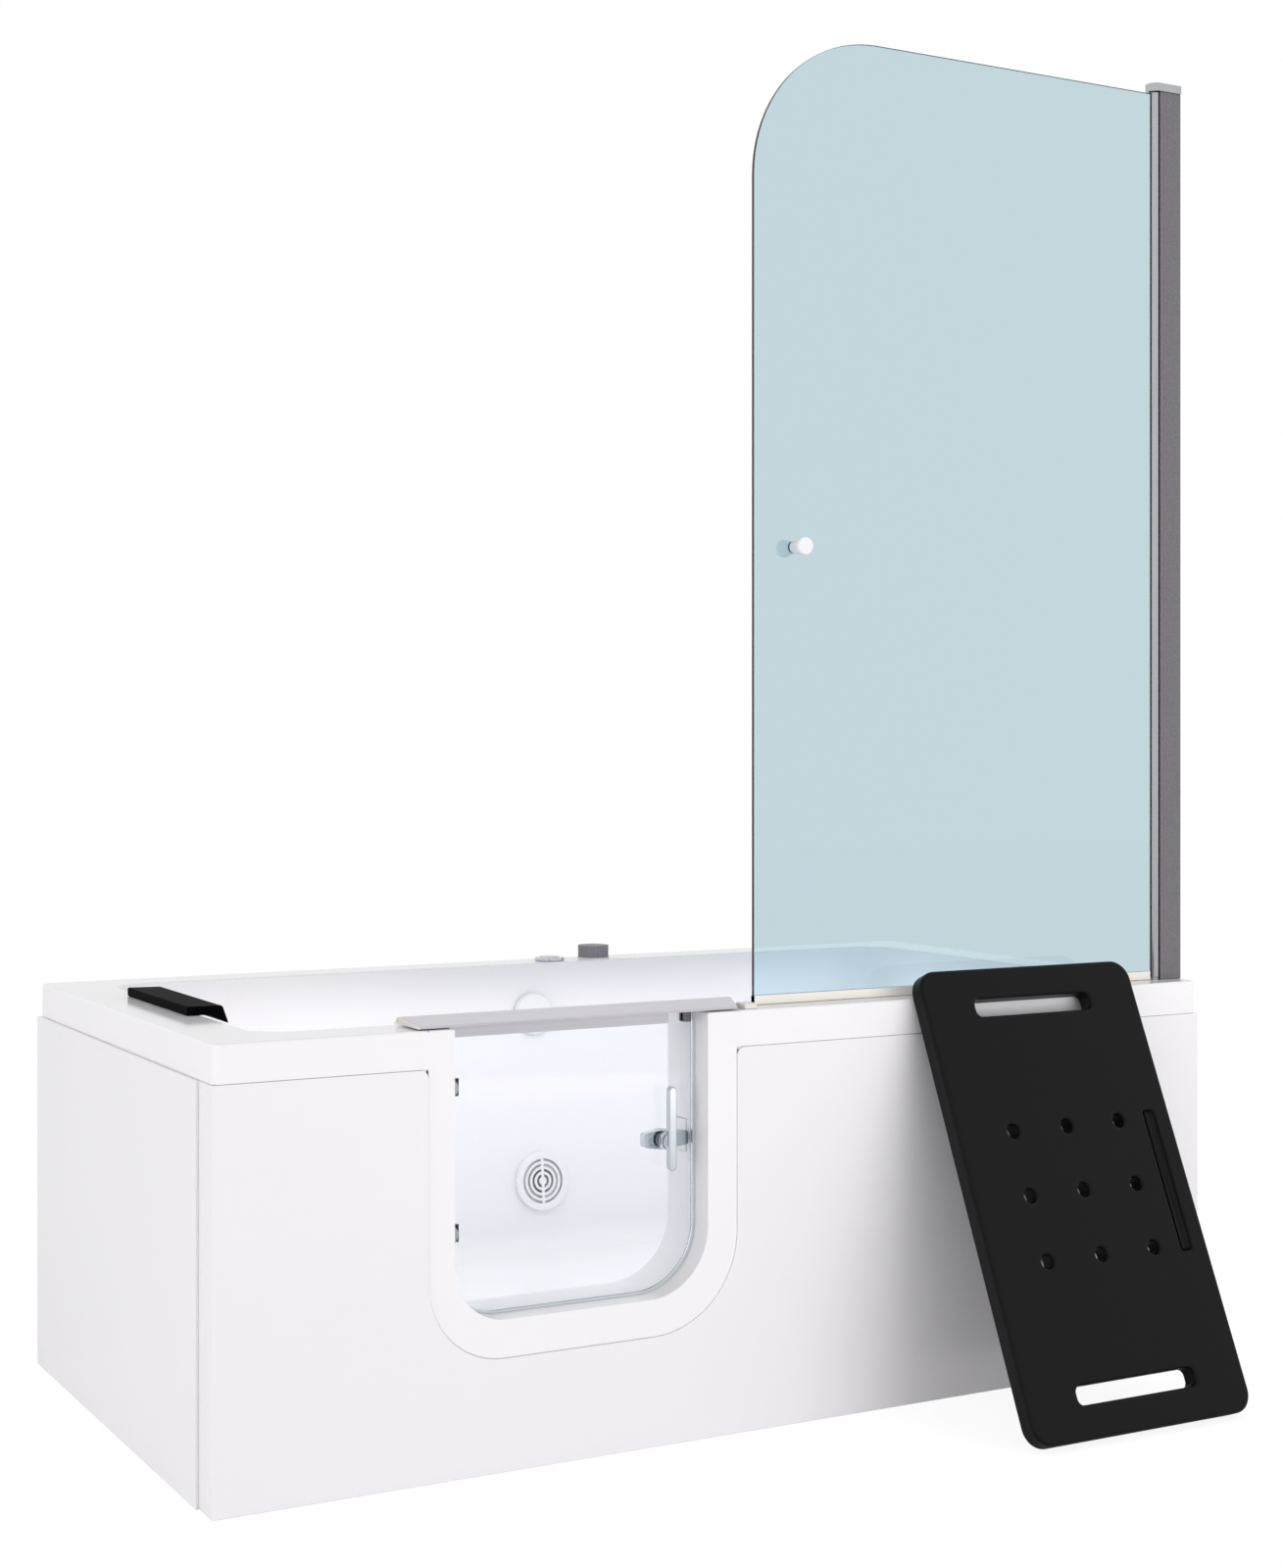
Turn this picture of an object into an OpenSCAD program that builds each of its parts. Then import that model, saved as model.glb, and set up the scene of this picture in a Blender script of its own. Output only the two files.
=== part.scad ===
// Walk-in bathtub with an inward glass door, a hinged bath screen and a loose seat board.
// Origin on the floor under the middle of the tub, X to the right, Y to the rear, Z up.

/* [Tub] */
// Outer length of the tub
tub_l = 1600; // [1590:2:1640]
// Outer width of the tub
tub_w = 800; // [796:1:830]
// Height of the rim above the floor
rim_h = 585; // [575:1:600]
// Height of the skirt under the rim
skirt_h = 50; // [30:1:60]
// Wall of the moulded shell
shell_t = 5; // [4:0.25:6]
// Width of the deck at each end
deck_end = 85; // [82:1:100]
// Width of the front deck
deck_front = 78; // [74:1:84]
// Width of the rear deck
deck_rear = 75; // [74:1:82]
// Corner radius of the basin at the rim
basin_r = 56; // [40:1:80]
// Corner radius of the rim outside
rim_r = 10; // [4:1:14]
// Height of the basin floor above the room floor
basin_floor = 118; // [114:1:130]
// Radius between the basin floor and its walls
foot_r = 40; // [30:1:46]
// Run of the left backrest from the rim in to its foot
run_left = 155; // [140:1:180]
// Run of the right end wall
run_right = 105; // [80:1:130]
// Run of the front and rear walls
run_side = 45; // [40:1:50]

/* [Panels] */
// Thickness of the front and end panels
panel_t = 4; // [3:0.5:5]
// Depth of the front panel's folded ends
return_d = 49; // [30:1:60]
// Gap between the panels and the skirt above or the floor below
panel_gap = 0.5; // [0.3:0.1:2]
// How far the front panel stands proud of the skirt
panel_proud = 2; // [1.5:0.1:3]
// How far the end panels stand proud of the skirt
end_proud = 6; // [6:0.5:9]
// Width of the lip folded in along a panel's top
lip_w = 12; // [8:1:18]

/* [Doorway] */
// Left side of the doorway
door_x0 = -472; // [-480:1:-466]
// Clear width of the doorway
door_w = 383.5; // [376:0.5:390]
// Height of the sill
sill_h = 200; // [190:1:215]
// Radius of the lower left corner of the doorway
door_rl = 76; // [60:1:90]
// Radius of the lower right corner of the doorway
door_rr = 92; // [80:1:110]
// Width of the front flange left of the doorway
flange_l = 37; // [37:1:44]
// Width of the front flange right of the doorway
flange_r = 46.5; // [42:0.5:50]
// Width of the front flange under the sill
flange_b = 50; // [44:1:60]
// Radius of the flange's lower left corner
flange_rl = 108; // [90:1:120]
// Radius of the flange's lower right corner
flange_rr = 133; // [110:1:140]
// Depth of the doorway lining
jamb_d = 115; // [110:1:118]
// Thickness of the steel frame around the doorway
frame_t = 25; // [15:1:26]
// Width of the sealing lip around the doorway
gasket_w = 3.5; // [2.5:0.1:4]
// Thickness of the sealing lip
gasket_t = 3; // [2:0.1:4]

/* [Door] */
// Thickness of the door glass
glass_t = 8; // [6:0.5:10]
// Setback of the door glass from the tub's front
glass_back = 38; // [36:0.5:40]
// Gap around the door glass
glass_gap = 1.75; // [1.5:0.05:2.5]
// Distance of the hinge axis from the left jamb
hinge_in = 8; // [7.8:0.1:9]
// Distance of the hinge axis behind the glass
hinge_back = 11; // [10:0.5:12]
// Height of the lower hinge
hinge_low = 310; // [290:1:330]
// Distance of the upper hinge below the rim
hinge_down = 83; // [65:1:105]
// Height of a hinge leaf
leaf_h = 24; // [18:1:28]
// Length of a hinge leaf on the glass
leaf_l = 20; // [19:1:34]
// Thickness of a hinge leaf
leaf_t = 5; // [4:0.25:5]
// Outer radius of a hinge knuckle
knuckle_r = 5.5; // [5:0.1:5.6]
// Radius of the hinge pin
pin_r = 3; // [2.5:0.1:3.4]
// Running clearance on the radius of pins and spindles
run_fit = 0.05; // [0.03:0.01:0.08]
// Width of the front cap of a hinge
cap_w = 15.3; // [14:0.1:24]
// Thickness of the front cap of a hinge
cap_t = 4.5; // [3:0.5:6]

/* [Top plate] */
// Overhang of the top plate left of the doorway
plate_over = 48; // [30:1:60]
// Length of the top plate along its front edge
plate_l = 480; // [470:1:484]
// Slant of the plate's right end
plate_slant = 32; // [20:1:34]
// Depth of the top plate from front to rear
plate_d = 72; // [68:1:76]
// Gap between the deck and the top plate
plate_gap = 2; // [1:0.5:3]
// Thickness of the plate at its front edge
plate_front_t = 3.2; // [2:0.2:6]
// Thickness of the plate at its rear edge
plate_rear_t = 9; // [7:0.5:12]
// Length of the clamp rail that grips the glass
clamp_l = 334; // [300:1:340]
// Height of the clamp rail
clamp_h = 18; // [14:1:24]
// Thickness of each cheek of the clamp rail
clamp_cheek = 5; // [4:0.5:6]

/* [Latch] */
// Distance of the latch spindle from the right jamb
latch_in = 46; // [45.5:0.5:50]
// Height of the latch spindle
latch_h = 407; // [380:1:440]
// Radius of the latch spindle
spindle_r = 4; // [3:0.1:5]
// Length of the lever above the spindle
lever_up = 77; // [50:1:90]
// Length of the lever below the spindle
lever_down = 39; // [20:1:60]
// Width of the lever
lever_w = 12.5; // [10:0.5:16]
// Thickness of the lever
lever_t = 10; // [6:0.5:12]
// Length of the rose on the glass
rose_l = 9.7; // [6:0.1:14]
// Radius of the rose
rose_r = 11.5; // [9:0.5:14]
// Half the length of the inner latch bar along its longer arm
bar_arm = 42; // [36:0.5:43]
// Half the length of the inner latch bar along its shorter arm
bar_tail = 28; // [20:0.5:36]
// Thickness of the inner latch bar
bar_t = 14; // [8:0.5:14]

/* [Screen] */
// Left edge of the screen glass
screen_x0 = 13.5; // [10:0.5:40]
// Height of the screen glass above the rim
screen_h = 1384.5; // [1200:5:1500]
// Radius of the screen's upper corner
screen_r = 212; // [100:1:300]
// Thickness of the screen glass
screen_t = 6; // [5:0.5:8]
// Distance of the screen's pivot from the tub's right side
pivot_in = 43; // [41:0.5:44]
// Distance of the screen's pivot behind the tub's front
pivot_back = 46; // [44:1:50]
// Radius of the pivot bar
pivot_r = 9; // [8:0.5:9.2]
// Radius of the pivot pins
pivot_pin_r = 4; // [3:0.1:4.4]
// Depth of the wall profile from its front face to its rear face
profile_d = 24; // [23:0.5:28]
// Wall of the profile
profile_t = 2; // [1.5:0.1:2.2]
// Height of the profile's end cap
profile_cap = 13; // [8:1:20]
// Height of the seal under the screen
seal_h = 13; // [10:0.5:18]
// Thickness of the seal
seal_t = 10; // [9:0.5:12]
// Height of the screen knob above the floor
knob_z = 1234; // [1000:1:1400]
// Distance of the screen knob from the glass edge
knob_in = 68.5; // [40:0.5:120]
// Length of one half of the screen knob
knob_l = 30; // [20:1:40]
// Radius of the screen knob's face
knob_r = 13; // [10:0.5:18]
// Radius of the screw holes in the wall profile
profile_hole_r = 2.75; // [2:0.25:4]

/* [Rim fittings] */
// Place of the bath control knob from the tub's middle
knob_x = 143; // [120:1:200]
// Distance of the control knob from the tub's rear side
knob_y = 45; // [38:1:46]
// Radius of the control knob
control_r = 26; // [20:1:28]
// Height of the control knob
control_h = 20; // [14:1:26]
// Place of the air button from the tub's middle
button_x = 60; // [30:1:75]
// Distance of the air button from the tub's rear side
button_y = 42; // [38:1:44]
// Radius of the air button's bezel
bezel_r = 25; // [22:0.5:28]
// Radius of the air button
button_r = 17; // [12:0.5:18]
// Travel of the air button
button_travel = 3; // [2:0.5:3.5]
// Length of the headrest across the tub
pillow_l = 274; // [200:1:400]
// Middle of the headrest from the tub's middle
pillow_y = 27; // [-40:1:40]

/* [Wall fittings] */
// Distance of the wall grille and the overflow right of the middle
wall_x = 6; // [0:1:16]
// Height of the suction grille
suction_z = 228; // [220:1:236]
// Radius of the suction grille
suction_r = 48; // [42:1:54]
// Distance of the overflow below the rim
overflow_down = 83; // [70:1:95]
// Radius of the overflow cover
overflow_r = 35; // [32:1:42]
// Radius of the suction pipe outside
suction_pipe_r = 25; // [20:0.5:26]
// Radius of the pressure pipe outside
pressure_pipe_r = 14; // [10:0.5:16]
// Height of the jets
jet_z = 330; // [326:1:345]
// Radius of a jet's flange
jet_r = 27; // [24:1:32]
// Distance of the outer jets from the tub's ends
jet_in = 290; // [275:5:310]
// Spacing from an inner to an outer jet
jet_step = 180; // [150:5:185]
// Wall of the pipes
pipe_t = 3; // [2:0.25:4]

/* [Waste] */
// Place of the waste right of the middle
waste_x = 110; // [100:1:122]
// Distance of the waste from the tub's rear side
waste_in = 400; // [380:1:420]
// Radius of the waste's flange
waste_r = 34; // [28:1:36]
// Radius of the waste barrel outside
barrel_r = 22; // [18:0.5:24]
// Radius of the drain outlet's bore
outlet_r = 17; // [14:0.5:17]
// Lift of the plug
plug_lift = 14; // [10:0.5:16]
// Radius of the overflow pipe outside
overflow_pipe_r = 15; // [12:0.5:16]

/* [Frame and feet] */
// Side of the square steel tubes
tube_s = 30; // [25:1:30]
// Distance of the long rails from the middle
rail_y = 215; // [212:1:216]
// Thickness of the base board under the basin
board_t = 18; // [12:1:20]
// Distance of the outer feet from the middle
foot_x = 600; // [560:5:640]
// Radius of a foot's pad
pad_r = 25; // [20:1:32]
// Height of a foot's pad
pad_h = 14; // [10:1:18]
// Radius of a foot's threaded stem
stem_r = 6; // [5:0.5:8]

/* [Seat board] */
// Width of the seat board
seat_w = 390; // [340:1:420]
// Length of the seat board
seat_l = 670; // [640:1:700]
// Thickness of the seat board
seat_t = 28; // [22:1:36]
// Corner radius of the seat board
seat_r = 30; // [10:1:50]
// Distance of the leaning board's middle from the tub's right end
seat_in = 349.5; // [260:0.5:500]
// Lean of the board from upright
seat_lean = 23.5; // [15:0.5:30]
// Radius of the drain holes in the board
seat_hole_r = 10; // [6:0.5:14]
// Spacing of the drain holes across the board
seat_hole_dx = 97; // [60:1:105]
// Spacing of the drain holes along the board
seat_hole_dy = 93; // [60:1:110]
// Length of a grip slot
slot_l = 212; // [120:1:240]
// Width of a grip slot
slot_w = 26; // [20:1:34]
// Distance of a grip slot from the board's end
slot_end = 59; // [50:1:80]

/* [Hidden] */
$fn = 64;
hull_fn = 32;
eps = 0.5;
fit_gap = 0.3;
seat_gap = 0.2;

half_l = tub_l / 2;
half_w = tub_w / 2;
front_y = -half_w;
deck_z = rim_h - shell_t;
skirt_z = rim_h - skirt_h;

basin_x0 = -half_l + deck_end;
basin_x1 = half_l - deck_end;
basin_y0 = front_y + deck_front;
basin_y1 = half_w - deck_rear;
foot_x0 = basin_x0 + run_left + foot_r;
foot_x1 = basin_x1 - run_right - foot_r;
foot_y0 = basin_y0 + run_side + foot_r;
foot_y1 = basin_y1 - run_side - foot_r;
foot_z = basin_floor + foot_r;
under_z = basin_floor - shell_t;

// Lean of a wall that runs from the rim to the rounded foot, and the rear wall's inner face
function wall_lean(run) =
    atan((run + foot_r) / (rim_h - foot_z)) - asin(foot_r / norm([run + foot_r, rim_h - foot_z]));
rear_lean = wall_lean(run_side);
function rear_wall_y(z) = basin_y1 - (rim_h - z) * tan(rear_lean);
function front_wall_y(z) = basin_y0 + (rim_h - z) * tan(rear_lean);

door_x1 = door_x0 + door_w;
flange_x0 = door_x0 - flange_l;
flange_x1 = door_x1 + flange_r;
jamb_y = front_y + jamb_d;
opening_y = max(jamb_y, front_wall_y(sill_h)) + eps;
// Behind this plane the basin's front wall belongs to the tub shell alone
surround_y = front_wall_y(sill_h - flange_b) + shell_t / 2;
core_y = basin_y0 - 2 * shell_t;
frame_y0 = front_y + shell_t + 3;
frame_y1 = jamb_y - shell_t - 6;

glass_y0 = front_y + glass_back;
glass_y1 = glass_y0 + glass_t;
glass_top = rim_h - 2;
hinge_x = door_x0 + hinge_in;
hinge_y = glass_y1 + hinge_back;
hinge_zs = [hinge_low, rim_h - hinge_down];
bracket_h = 60;
bracket_plate_t = 2;
bracket_y1 = hinge_y + 43;
bracket_screw_y = hinge_y + 28;
bracket_screw_dz = 20;
bracket_screw_r = 2.2;
stud_r = 3;
stud_x = door_x0 + 14;

// Behind this plane the glass swings back past its own edge
relief_y = hinge_y + hinge_back + 1;
relief_w = 10;
relief_r = 6;

gasket_y1 = glass_y0 - 1;
gasket_y0 = gasket_y1 - gasket_t;

plate_x0 = door_x0 - plate_over;
plate_y1 = front_y + plate_d;
plate_z0 = rim_h + plate_gap;
clamp_x0 = door_x0 + 6;
clamp_x1 = clamp_x0 + clamp_l;
clamp_z0 = plate_z0 - clamp_h;
cap_end_t = 4;

latch_x = door_x1 - latch_in;
lever_y1 = glass_y0 - rose_l - fit_gap;
hub_l = 2;
bar_y0 = glass_y1 + 2;
bar_y1 = bar_y0 + bar_t;
nut_t = bar_y0 - glass_y1 - fit_gap;
sleeve_r = spindle_r + 2;
strike_t = 2.5;
strike_h = 44;
strike_y0 = bar_y1 + 0.5;
strike_y1 = strike_y0 + 37;

pivot_x = half_l - pivot_in;
pivot_y = front_y + pivot_back;
screen_top = rim_h + screen_h;
screen_slot = 4.5;
screen_x1 = pivot_x - screen_slot;
seal_z0 = rim_h + 0.4;
glass_low = seal_z0 + 4.6;
profile_top = screen_top + 2.5;
profile_web = 3;
profile_open = 1.4;
profile_hole_low = 75;
profile_hole_high = 72;
profile_z0 = rim_h + profile_hole_low;
profile_z1 = profile_top - profile_hole_high;
profile_zs = [profile_z0, (profile_z0 + profile_z1) / 2, profile_z1];
bearing_h = 3.7;
pivot_pin_l = 16;

knob_cy = half_w - knob_y;
button_cy = half_w - button_y;
knob_base_t = 2.7;
knob_stem_r = 5;
knob_body_r = 18;
knob_body_h = 35;
collar_r = 8;
button_collar_r = button_r + 3;
cover_h = 8;
slot_r0 = 7;
slot_pitch = 8.5;
slot_ring_w = 4;
cover_neck = 3;
overflow_barrel_r = 23;

service_y = half_w - 55;
suction_l = (service_y - rear_wall_y(suction_z)) / cos(rear_lean);
suction_axis_z = suction_z - suction_l * sin(rear_lean);
elbow_r = suction_pipe_r + 5;
pressure_y = half_w - 19;
jet_l = (pressure_y - rear_wall_y(jet_z)) / cos(rear_lean);
pressure_z = jet_z - jet_l * sin(rear_lean);
jet_xs = [-half_l + jet_in, -half_l + jet_in + jet_step, half_l - jet_in - jet_step, half_l - jet_in];
jet_body_l = 34;
jet_barrel_r = 18.5;
pump_x1 = -half_l + 200;
pump_w = 60;
pump_r = 50;
motor_r = 42;
motor_l = 118;
pump_out_x = pump_x1 - pump_w / 2;
pump_out_z = suction_axis_z + pump_r + 2;
riser_bend = 24;
shelf_z = suction_axis_z - motor_r - 4;

overflow_z = rim_h - overflow_down;
overflow_in = 23;
overflow_y = rear_wall_y(overflow_z) + overflow_in * cos(rear_lean);
overflow_out_z = overflow_z - overflow_in * sin(rear_lean);
overflow_out_x = wall_x + 45;
pipe_bend = 22;
overflow_low_z = 45;
waste_y = half_w - waste_in;
waste_port_z = 60;
waste_port_l = 9;
barrel_z0 = 28;
waste_stub_y = waste_y + barrel_r + 14;
trap_r = 36;
trap_z0 = 3;
outlet_z = trap_z0 + outlet_r + pipe_t;
outlet_x = waste_x + max(barrel_r, overflow_pipe_r + 1) + outlet_r + pipe_t + 3;
outlet_end = half_w - 100;
outlet_bore = 130;
plug_t = 4;
plug_guide = 36;
waste_flange_t = 2.5;

rail_z1 = under_z - board_t;
rail_z0 = rail_z1 - tube_s;
upright_x = half_l - 55;
cross_xs = [-450, 0, 500];
tube_t = 2;
feet = [[-foot_x, -rail_y], [foot_x, -rail_y], [-foot_x, rail_y], [foot_x, rail_y], [0, 0]];
nut_h = 10;
bracket_w = 30;
bracket_t = 3;
bracket_in = 100;
bracket_rise = 205;
bracket_tab = 26;
shelf_over = 40;

seat_x = half_l - seat_in;
pillow_t = 13;
pillow_back = 21;
pillow_lip = 39;
pillow_edge = 3;
pillow_slant = 9;
seat_rest_z = min(rim_h, seat_l * cos(seat_lean));
seat_foot_y = front_y - fit_gap / cos(seat_lean) - seat_rest_z * tan(seat_lean);

// Hand-chosen points of the cable from the control knob to the waste
cable_r = 3;
cable_low = waste_port_z + 30;
cable_high = deck_z - 80;
function cable_z(k) = cable_low + k * (cable_high - cable_low);
cable_route = [
    [knob_x, knob_cy, deck_z - knob_body_h - 10], [knob_x, knob_cy, cable_high],
    [knob_x + 1, half_w - 48, cable_z(0.85)], [knob_x + 3, half_w - 52, cable_z(0.5)],
    [knob_x + 9, half_w - 54, cable_z(0.17)], [knob_x + 15, half_w - 62, cable_low],
    [knob_x + 19, half_w - 90, waste_port_z + 1], [waste_x + 67, waste_y + 100, waste_port_z],
    [waste_x + 67, waste_y + 40, waste_port_z], [waste_x + 63, waste_y + 12, waste_port_z],
    [waste_x + 53, waste_y + 1, waste_port_z],
    [waste_x + barrel_r + waste_port_l + 6, waste_y, waste_port_z],
    [waste_x + barrel_r + waste_port_l, waste_y, waste_port_z]
];
// Hand-chosen points of the air tube from the button to the pump's switch
switch_z = suction_axis_z + motor_r + 28;
switch_x = pump_x1 - pump_w - motor_l / 2;
tube_r = 3.5;
tube_route = [
    [button_x, button_cy, deck_z - 43], [button_x, button_cy, deck_z - 60],
    [button_x - 20, half_w - 34, deck_z - 84], [button_x - 60, half_w - 20, deck_z - 96],
    [button_x - 120, half_w - 16, deck_z - 102], [pump_x1 + 400, half_w - 16, deck_z - 104],
    [pump_x1 + 200, half_w - 16, deck_z - 104], [pump_x1 + 40, half_w - 18, deck_z - 106],
    [pump_x1 - 20, half_w - 28, deck_z - 118], [pump_x1 - 40, half_w - 48, deck_z - 150],
    [switch_x, service_y, switch_z + 68], [switch_x, service_y, switch_z + 12],
    [switch_x, service_y, switch_z]
];

// Slab of an outline drawn in X and Z, from y0 to y1
module xz_slab(y0, y1) {
    translate([0, y1, 0]) rotate([90, 0, 0]) linear_extrude(y1 - y0) children();
}
// Slab of an outline drawn in Y and Z, from x0 to x1
module yz_slab(x0, x1) {
    translate([x0, 0, 0]) rotate([90, 0, 90]) linear_extrude(x1 - x0) children();
}
// Box from its lowest to its highest corner
module block(x0, x1, y0, y1, z0, z1) {
    translate([x0, y0, z0]) cube([x1 - x0, y1 - y0, z1 - z0]);
}
// Rods along X, along Y and along Z
module rod_x(r, x0, x1, y, z) {
    translate([x0, y, z]) rotate([0, 90, 0]) cylinder(r = r, h = x1 - x0);
}
module rod_y(r, y0, y1, x, z) {
    translate([x, y1, z]) rotate([90, 0, 0]) cylinder(r = r, h = y1 - y0);
}
module rod_z(r, z0, z1, x, y) {
    translate([x, y, z0]) cylinder(r = r, h = z1 - z0);
}
// Rectangle with four round corners
module round_rect(x0, x1, y0, y1, r) {
    translate([x0 + r, y0]) square([x1 - x0 - 2 * r, y1 - y0]);
    translate([x0, y0 + r]) square([x1 - x0, y1 - y0 - 2 * r]);
    for (x = [x0 + r, x1 - r], y = [y0 + r, y1 - r]) translate([x, y]) circle(r);
}
// Upright outline, open at the top, with a round corner at each side of its foot
module cup_outline(x0, x1, z0, top, rl, rr) {
    translate([x0 + rl, z0]) square([x1 - x0 - rl - rr, top - z0]);
    translate([x0, z0 + rl]) square([rl + eps, top - z0 - rl]);
    translate([x1 - rr - eps, z0 + rr]) square([rr + eps, top - z0 - rr]);
    translate([x0 + rl, z0 + rl]) circle(rl);
    translate([x1 - rr, z0 + rr]) circle(rr);
}
// Outline of the doorway grown by g
module doorway(g, top) {
    cup_outline(door_x0 - g, door_x1 + g, sill_h - g, top, door_rl + g, door_rr + g);
}
// Outline of the front flange around the doorway grown by g
module flange(g, top) {
    cup_outline(door_x0 - flange_l - g, door_x1 + flange_r + g, sill_h - flange_b - g, top,
        flange_rl + g, flange_rr + g);
}
// Relief behind the hinge side, so that the foot of the glass can swing in
module hinge_relief(g, top) {
    cup_outline(door_x0 - g, door_x0 + door_rl + relief_w, sill_h - g, top, relief_r + g, eps);
}
// Basin grown by g: a rounded opening at the rim, from z0 to z1, and a rounded foot
module basin(g, z0, z1) {
    hull() {
        for (x = [basin_x0 + basin_r, basin_x1 - basin_r], y = [basin_y0 + basin_r, basin_y1 - basin_r])
            rod_z(basin_r + g, z0, z1, x, y, $fn = hull_fn);
        for (x = [foot_x0, foot_x1], y = [foot_y0, foot_y1])
            translate([x, y, foot_z]) sphere(foot_r + g, $fn = hull_fn);
        block(foot_x0, foot_x1, foot_y0, foot_y1, basin_floor - g, foot_z);
    }
}
// Place on the rear wall: z out of the wall into the basin, y up the wall
module on_rear_wall(x, z) {
    translate([x, rear_wall_y(z), z]) rotate([90 - rear_lean, 0, 0]) children();
}
// Quarter bend of a rod, from the X direction to the Z direction
module bend(r, bend_r) {
    rotate([90, 0, 0]) rotate_extrude(angle = 90) translate([bend_r, 0]) circle(r);
}
// Ring around z, between two radii
module ring(r_in, r_out, z0, z1) {
    difference() {
        translate([0, 0, z0]) cylinder(r = r_out, h = z1 - z0);
        translate([0, 0, z0 - eps]) cylinder(r = r_in, h = z1 - z0 + 2 * eps);
    }
}

// Swept tube along a route of points, closed at both ends
function unit(v) = v / norm(v);
function heading(p, i) = unit(p[min(i + 1, len(p) - 1)] - p[max(i - 1, 0)]);
// Points along a route, rounded twice by cutting its corners
function cut_once(p) = [p[0], for (i = [0:len(p) - 2]) each [p[i] * 0.75 + p[i + 1] * 0.25,
    p[i] * 0.25 + p[i + 1] * 0.75], p[len(p) - 1]];
function side_of(t) = unit(cross(t, abs(t.x) > 0.8 ? [0, 1, 0] : [1, 0, 0]));
// Side directions carried along the route without twisting
function carry(p, i, side) = i >= len(p) ? [] :
    let (t = heading(p, i), s = unit(side - t * (side * t))) concat([s], carry(p, i + 1, s));
module tube_along(route, r, sides = 8) {
    p = cut_once(cut_once(route));
    n = len(p);
    s = carry(p, 0, side_of(heading(p, 0)));
    points = [for (i = [0:n - 1]) let (t = heading(p, i), u = s[i], v = cross(t, u))
        for (k = [0:sides - 1]) p[i] + r * (u * cos(360 * k / sides) + v * sin(360 * k / sides))];
    sides_faces = [for (i = [0:n - 2], k = [0:sides - 1]) let (a = i * sides + k,
        b = i * sides + (k + 1) % sides) each [[a, a + sides, b], [b, a + sides, b + sides]]];
    first = [for (k = [1:sides - 2]) [0, k, k + 1]];
    last = [for (k = [1:sides - 2]) [(n - 1) * sides, (n - 1) * sides + k + 1, (n - 1) * sides + k]];
    polyhedron(points, concat(sides_faces, first, last));
}

// White moulding, before it is parted along the outline of the door surround
module moulding() {
    difference() {
        union() {
            basin(shell_t, rim_h - eps, rim_h);
            difference() {
                translate([0, 0, skirt_z]) linear_extrude(skirt_h)
                    round_rect(-half_l, half_l, -half_w, half_w, rim_r);
                translate([0, 0, skirt_z - eps]) linear_extrude(skirt_h - shell_t + eps)
                    round_rect(-half_l + shell_t, half_l - shell_t, -half_w + shell_t,
                        half_w - shell_t, rim_r / 2);
            }
            xz_slab(core_y, jamb_y) flange(0, rim_h);
            xz_slab(front_y, front_y + shell_t) flange(0, rim_h);
            xz_slab(front_y, jamb_y) doorway(shell_t, rim_h);
        }
        difference() {
            basin(0, rim_h, rim_h + eps);
            xz_slab(front_y, jamb_y) flange(0, rim_h + 2 * eps);
        }
        difference() {
            xz_slab(front_y + shell_t, jamb_y - shell_t) flange(-shell_t, deck_z);
            xz_slab(front_y, jamb_y) doorway(shell_t, rim_h);
            xz_slab(relief_y - shell_t, jamb_y) hinge_relief(shell_t, rim_h);
        }
        xz_slab(front_y - eps, opening_y) doorway(0, rim_h + eps);
        xz_slab(relief_y, opening_y) hinge_relief(0, rim_h + eps);
        for (x = jet_xs) on_rear_wall(x, jet_z) wall_hole(jet_barrel_r + fit_gap);
        on_rear_wall(wall_x, suction_z) wall_hole(suction_pipe_r + fit_gap);
        on_rear_wall(wall_x, overflow_z) wall_hole(overflow_barrel_r + fit_gap);
        rod_z(barrel_r + fit_gap, under_z - eps, basin_floor + eps, waste_x, waste_y);
        rod_z(collar_r + fit_gap, deck_z - eps, rim_h + eps, knob_x, knob_cy);
        rod_z(button_collar_r + fit_gap, deck_z - eps, rim_h + eps, button_x, button_cy);
        bracket_screw_rods(bracket_screw_r + seat_gap / 2, door_x0 - shell_t - eps, door_x0 + eps);
        block(door_x1 - eps, door_x1 + strike_t, strike_y0 - seat_gap, strike_y1 + seat_gap,
            latch_h - strike_h / 2 - seat_gap, latch_h + strike_h / 2 + seat_gap);
    }
}
module surround_zone() {
    xz_slab(front_y - eps, surround_y) flange(0, rim_h + eps);
}
module tub_shell() {
    color("white") difference() {
        moulding();
        surround_zone();
    }
}
module door_surround() {
    color("white") intersection() {
        moulding();
        surround_zone();
    }
}
module wall_hole(r) {
    translate([0, 0, -shell_t - 3]) cylinder(r = r, h = shell_t + 6);
}
module bracket_screw_rods(r, x0, x1) {
    for (z = hinge_zs, dz = [-bracket_screw_dz, bracket_screw_dz])
        rod_x(r, x0, x1, bracket_screw_y, z + dz);
}

module door_frame() {
    color("lightgray") difference() {
        xz_slab(frame_y0, frame_y1) doorway(shell_t + fit_gap + frame_t, deck_z);
        xz_slab(frame_y0 - eps, frame_y1 + eps) doorway(shell_t + fit_gap, deck_z + eps);
        xz_slab(relief_y - shell_t - fit_gap, frame_y1 + eps)
            hinge_relief(shell_t + fit_gap, deck_z + eps);
        bracket_screw_rods(bracket_screw_r + seat_gap / 2, door_x0 - 60, door_x0);
    }
}

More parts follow.
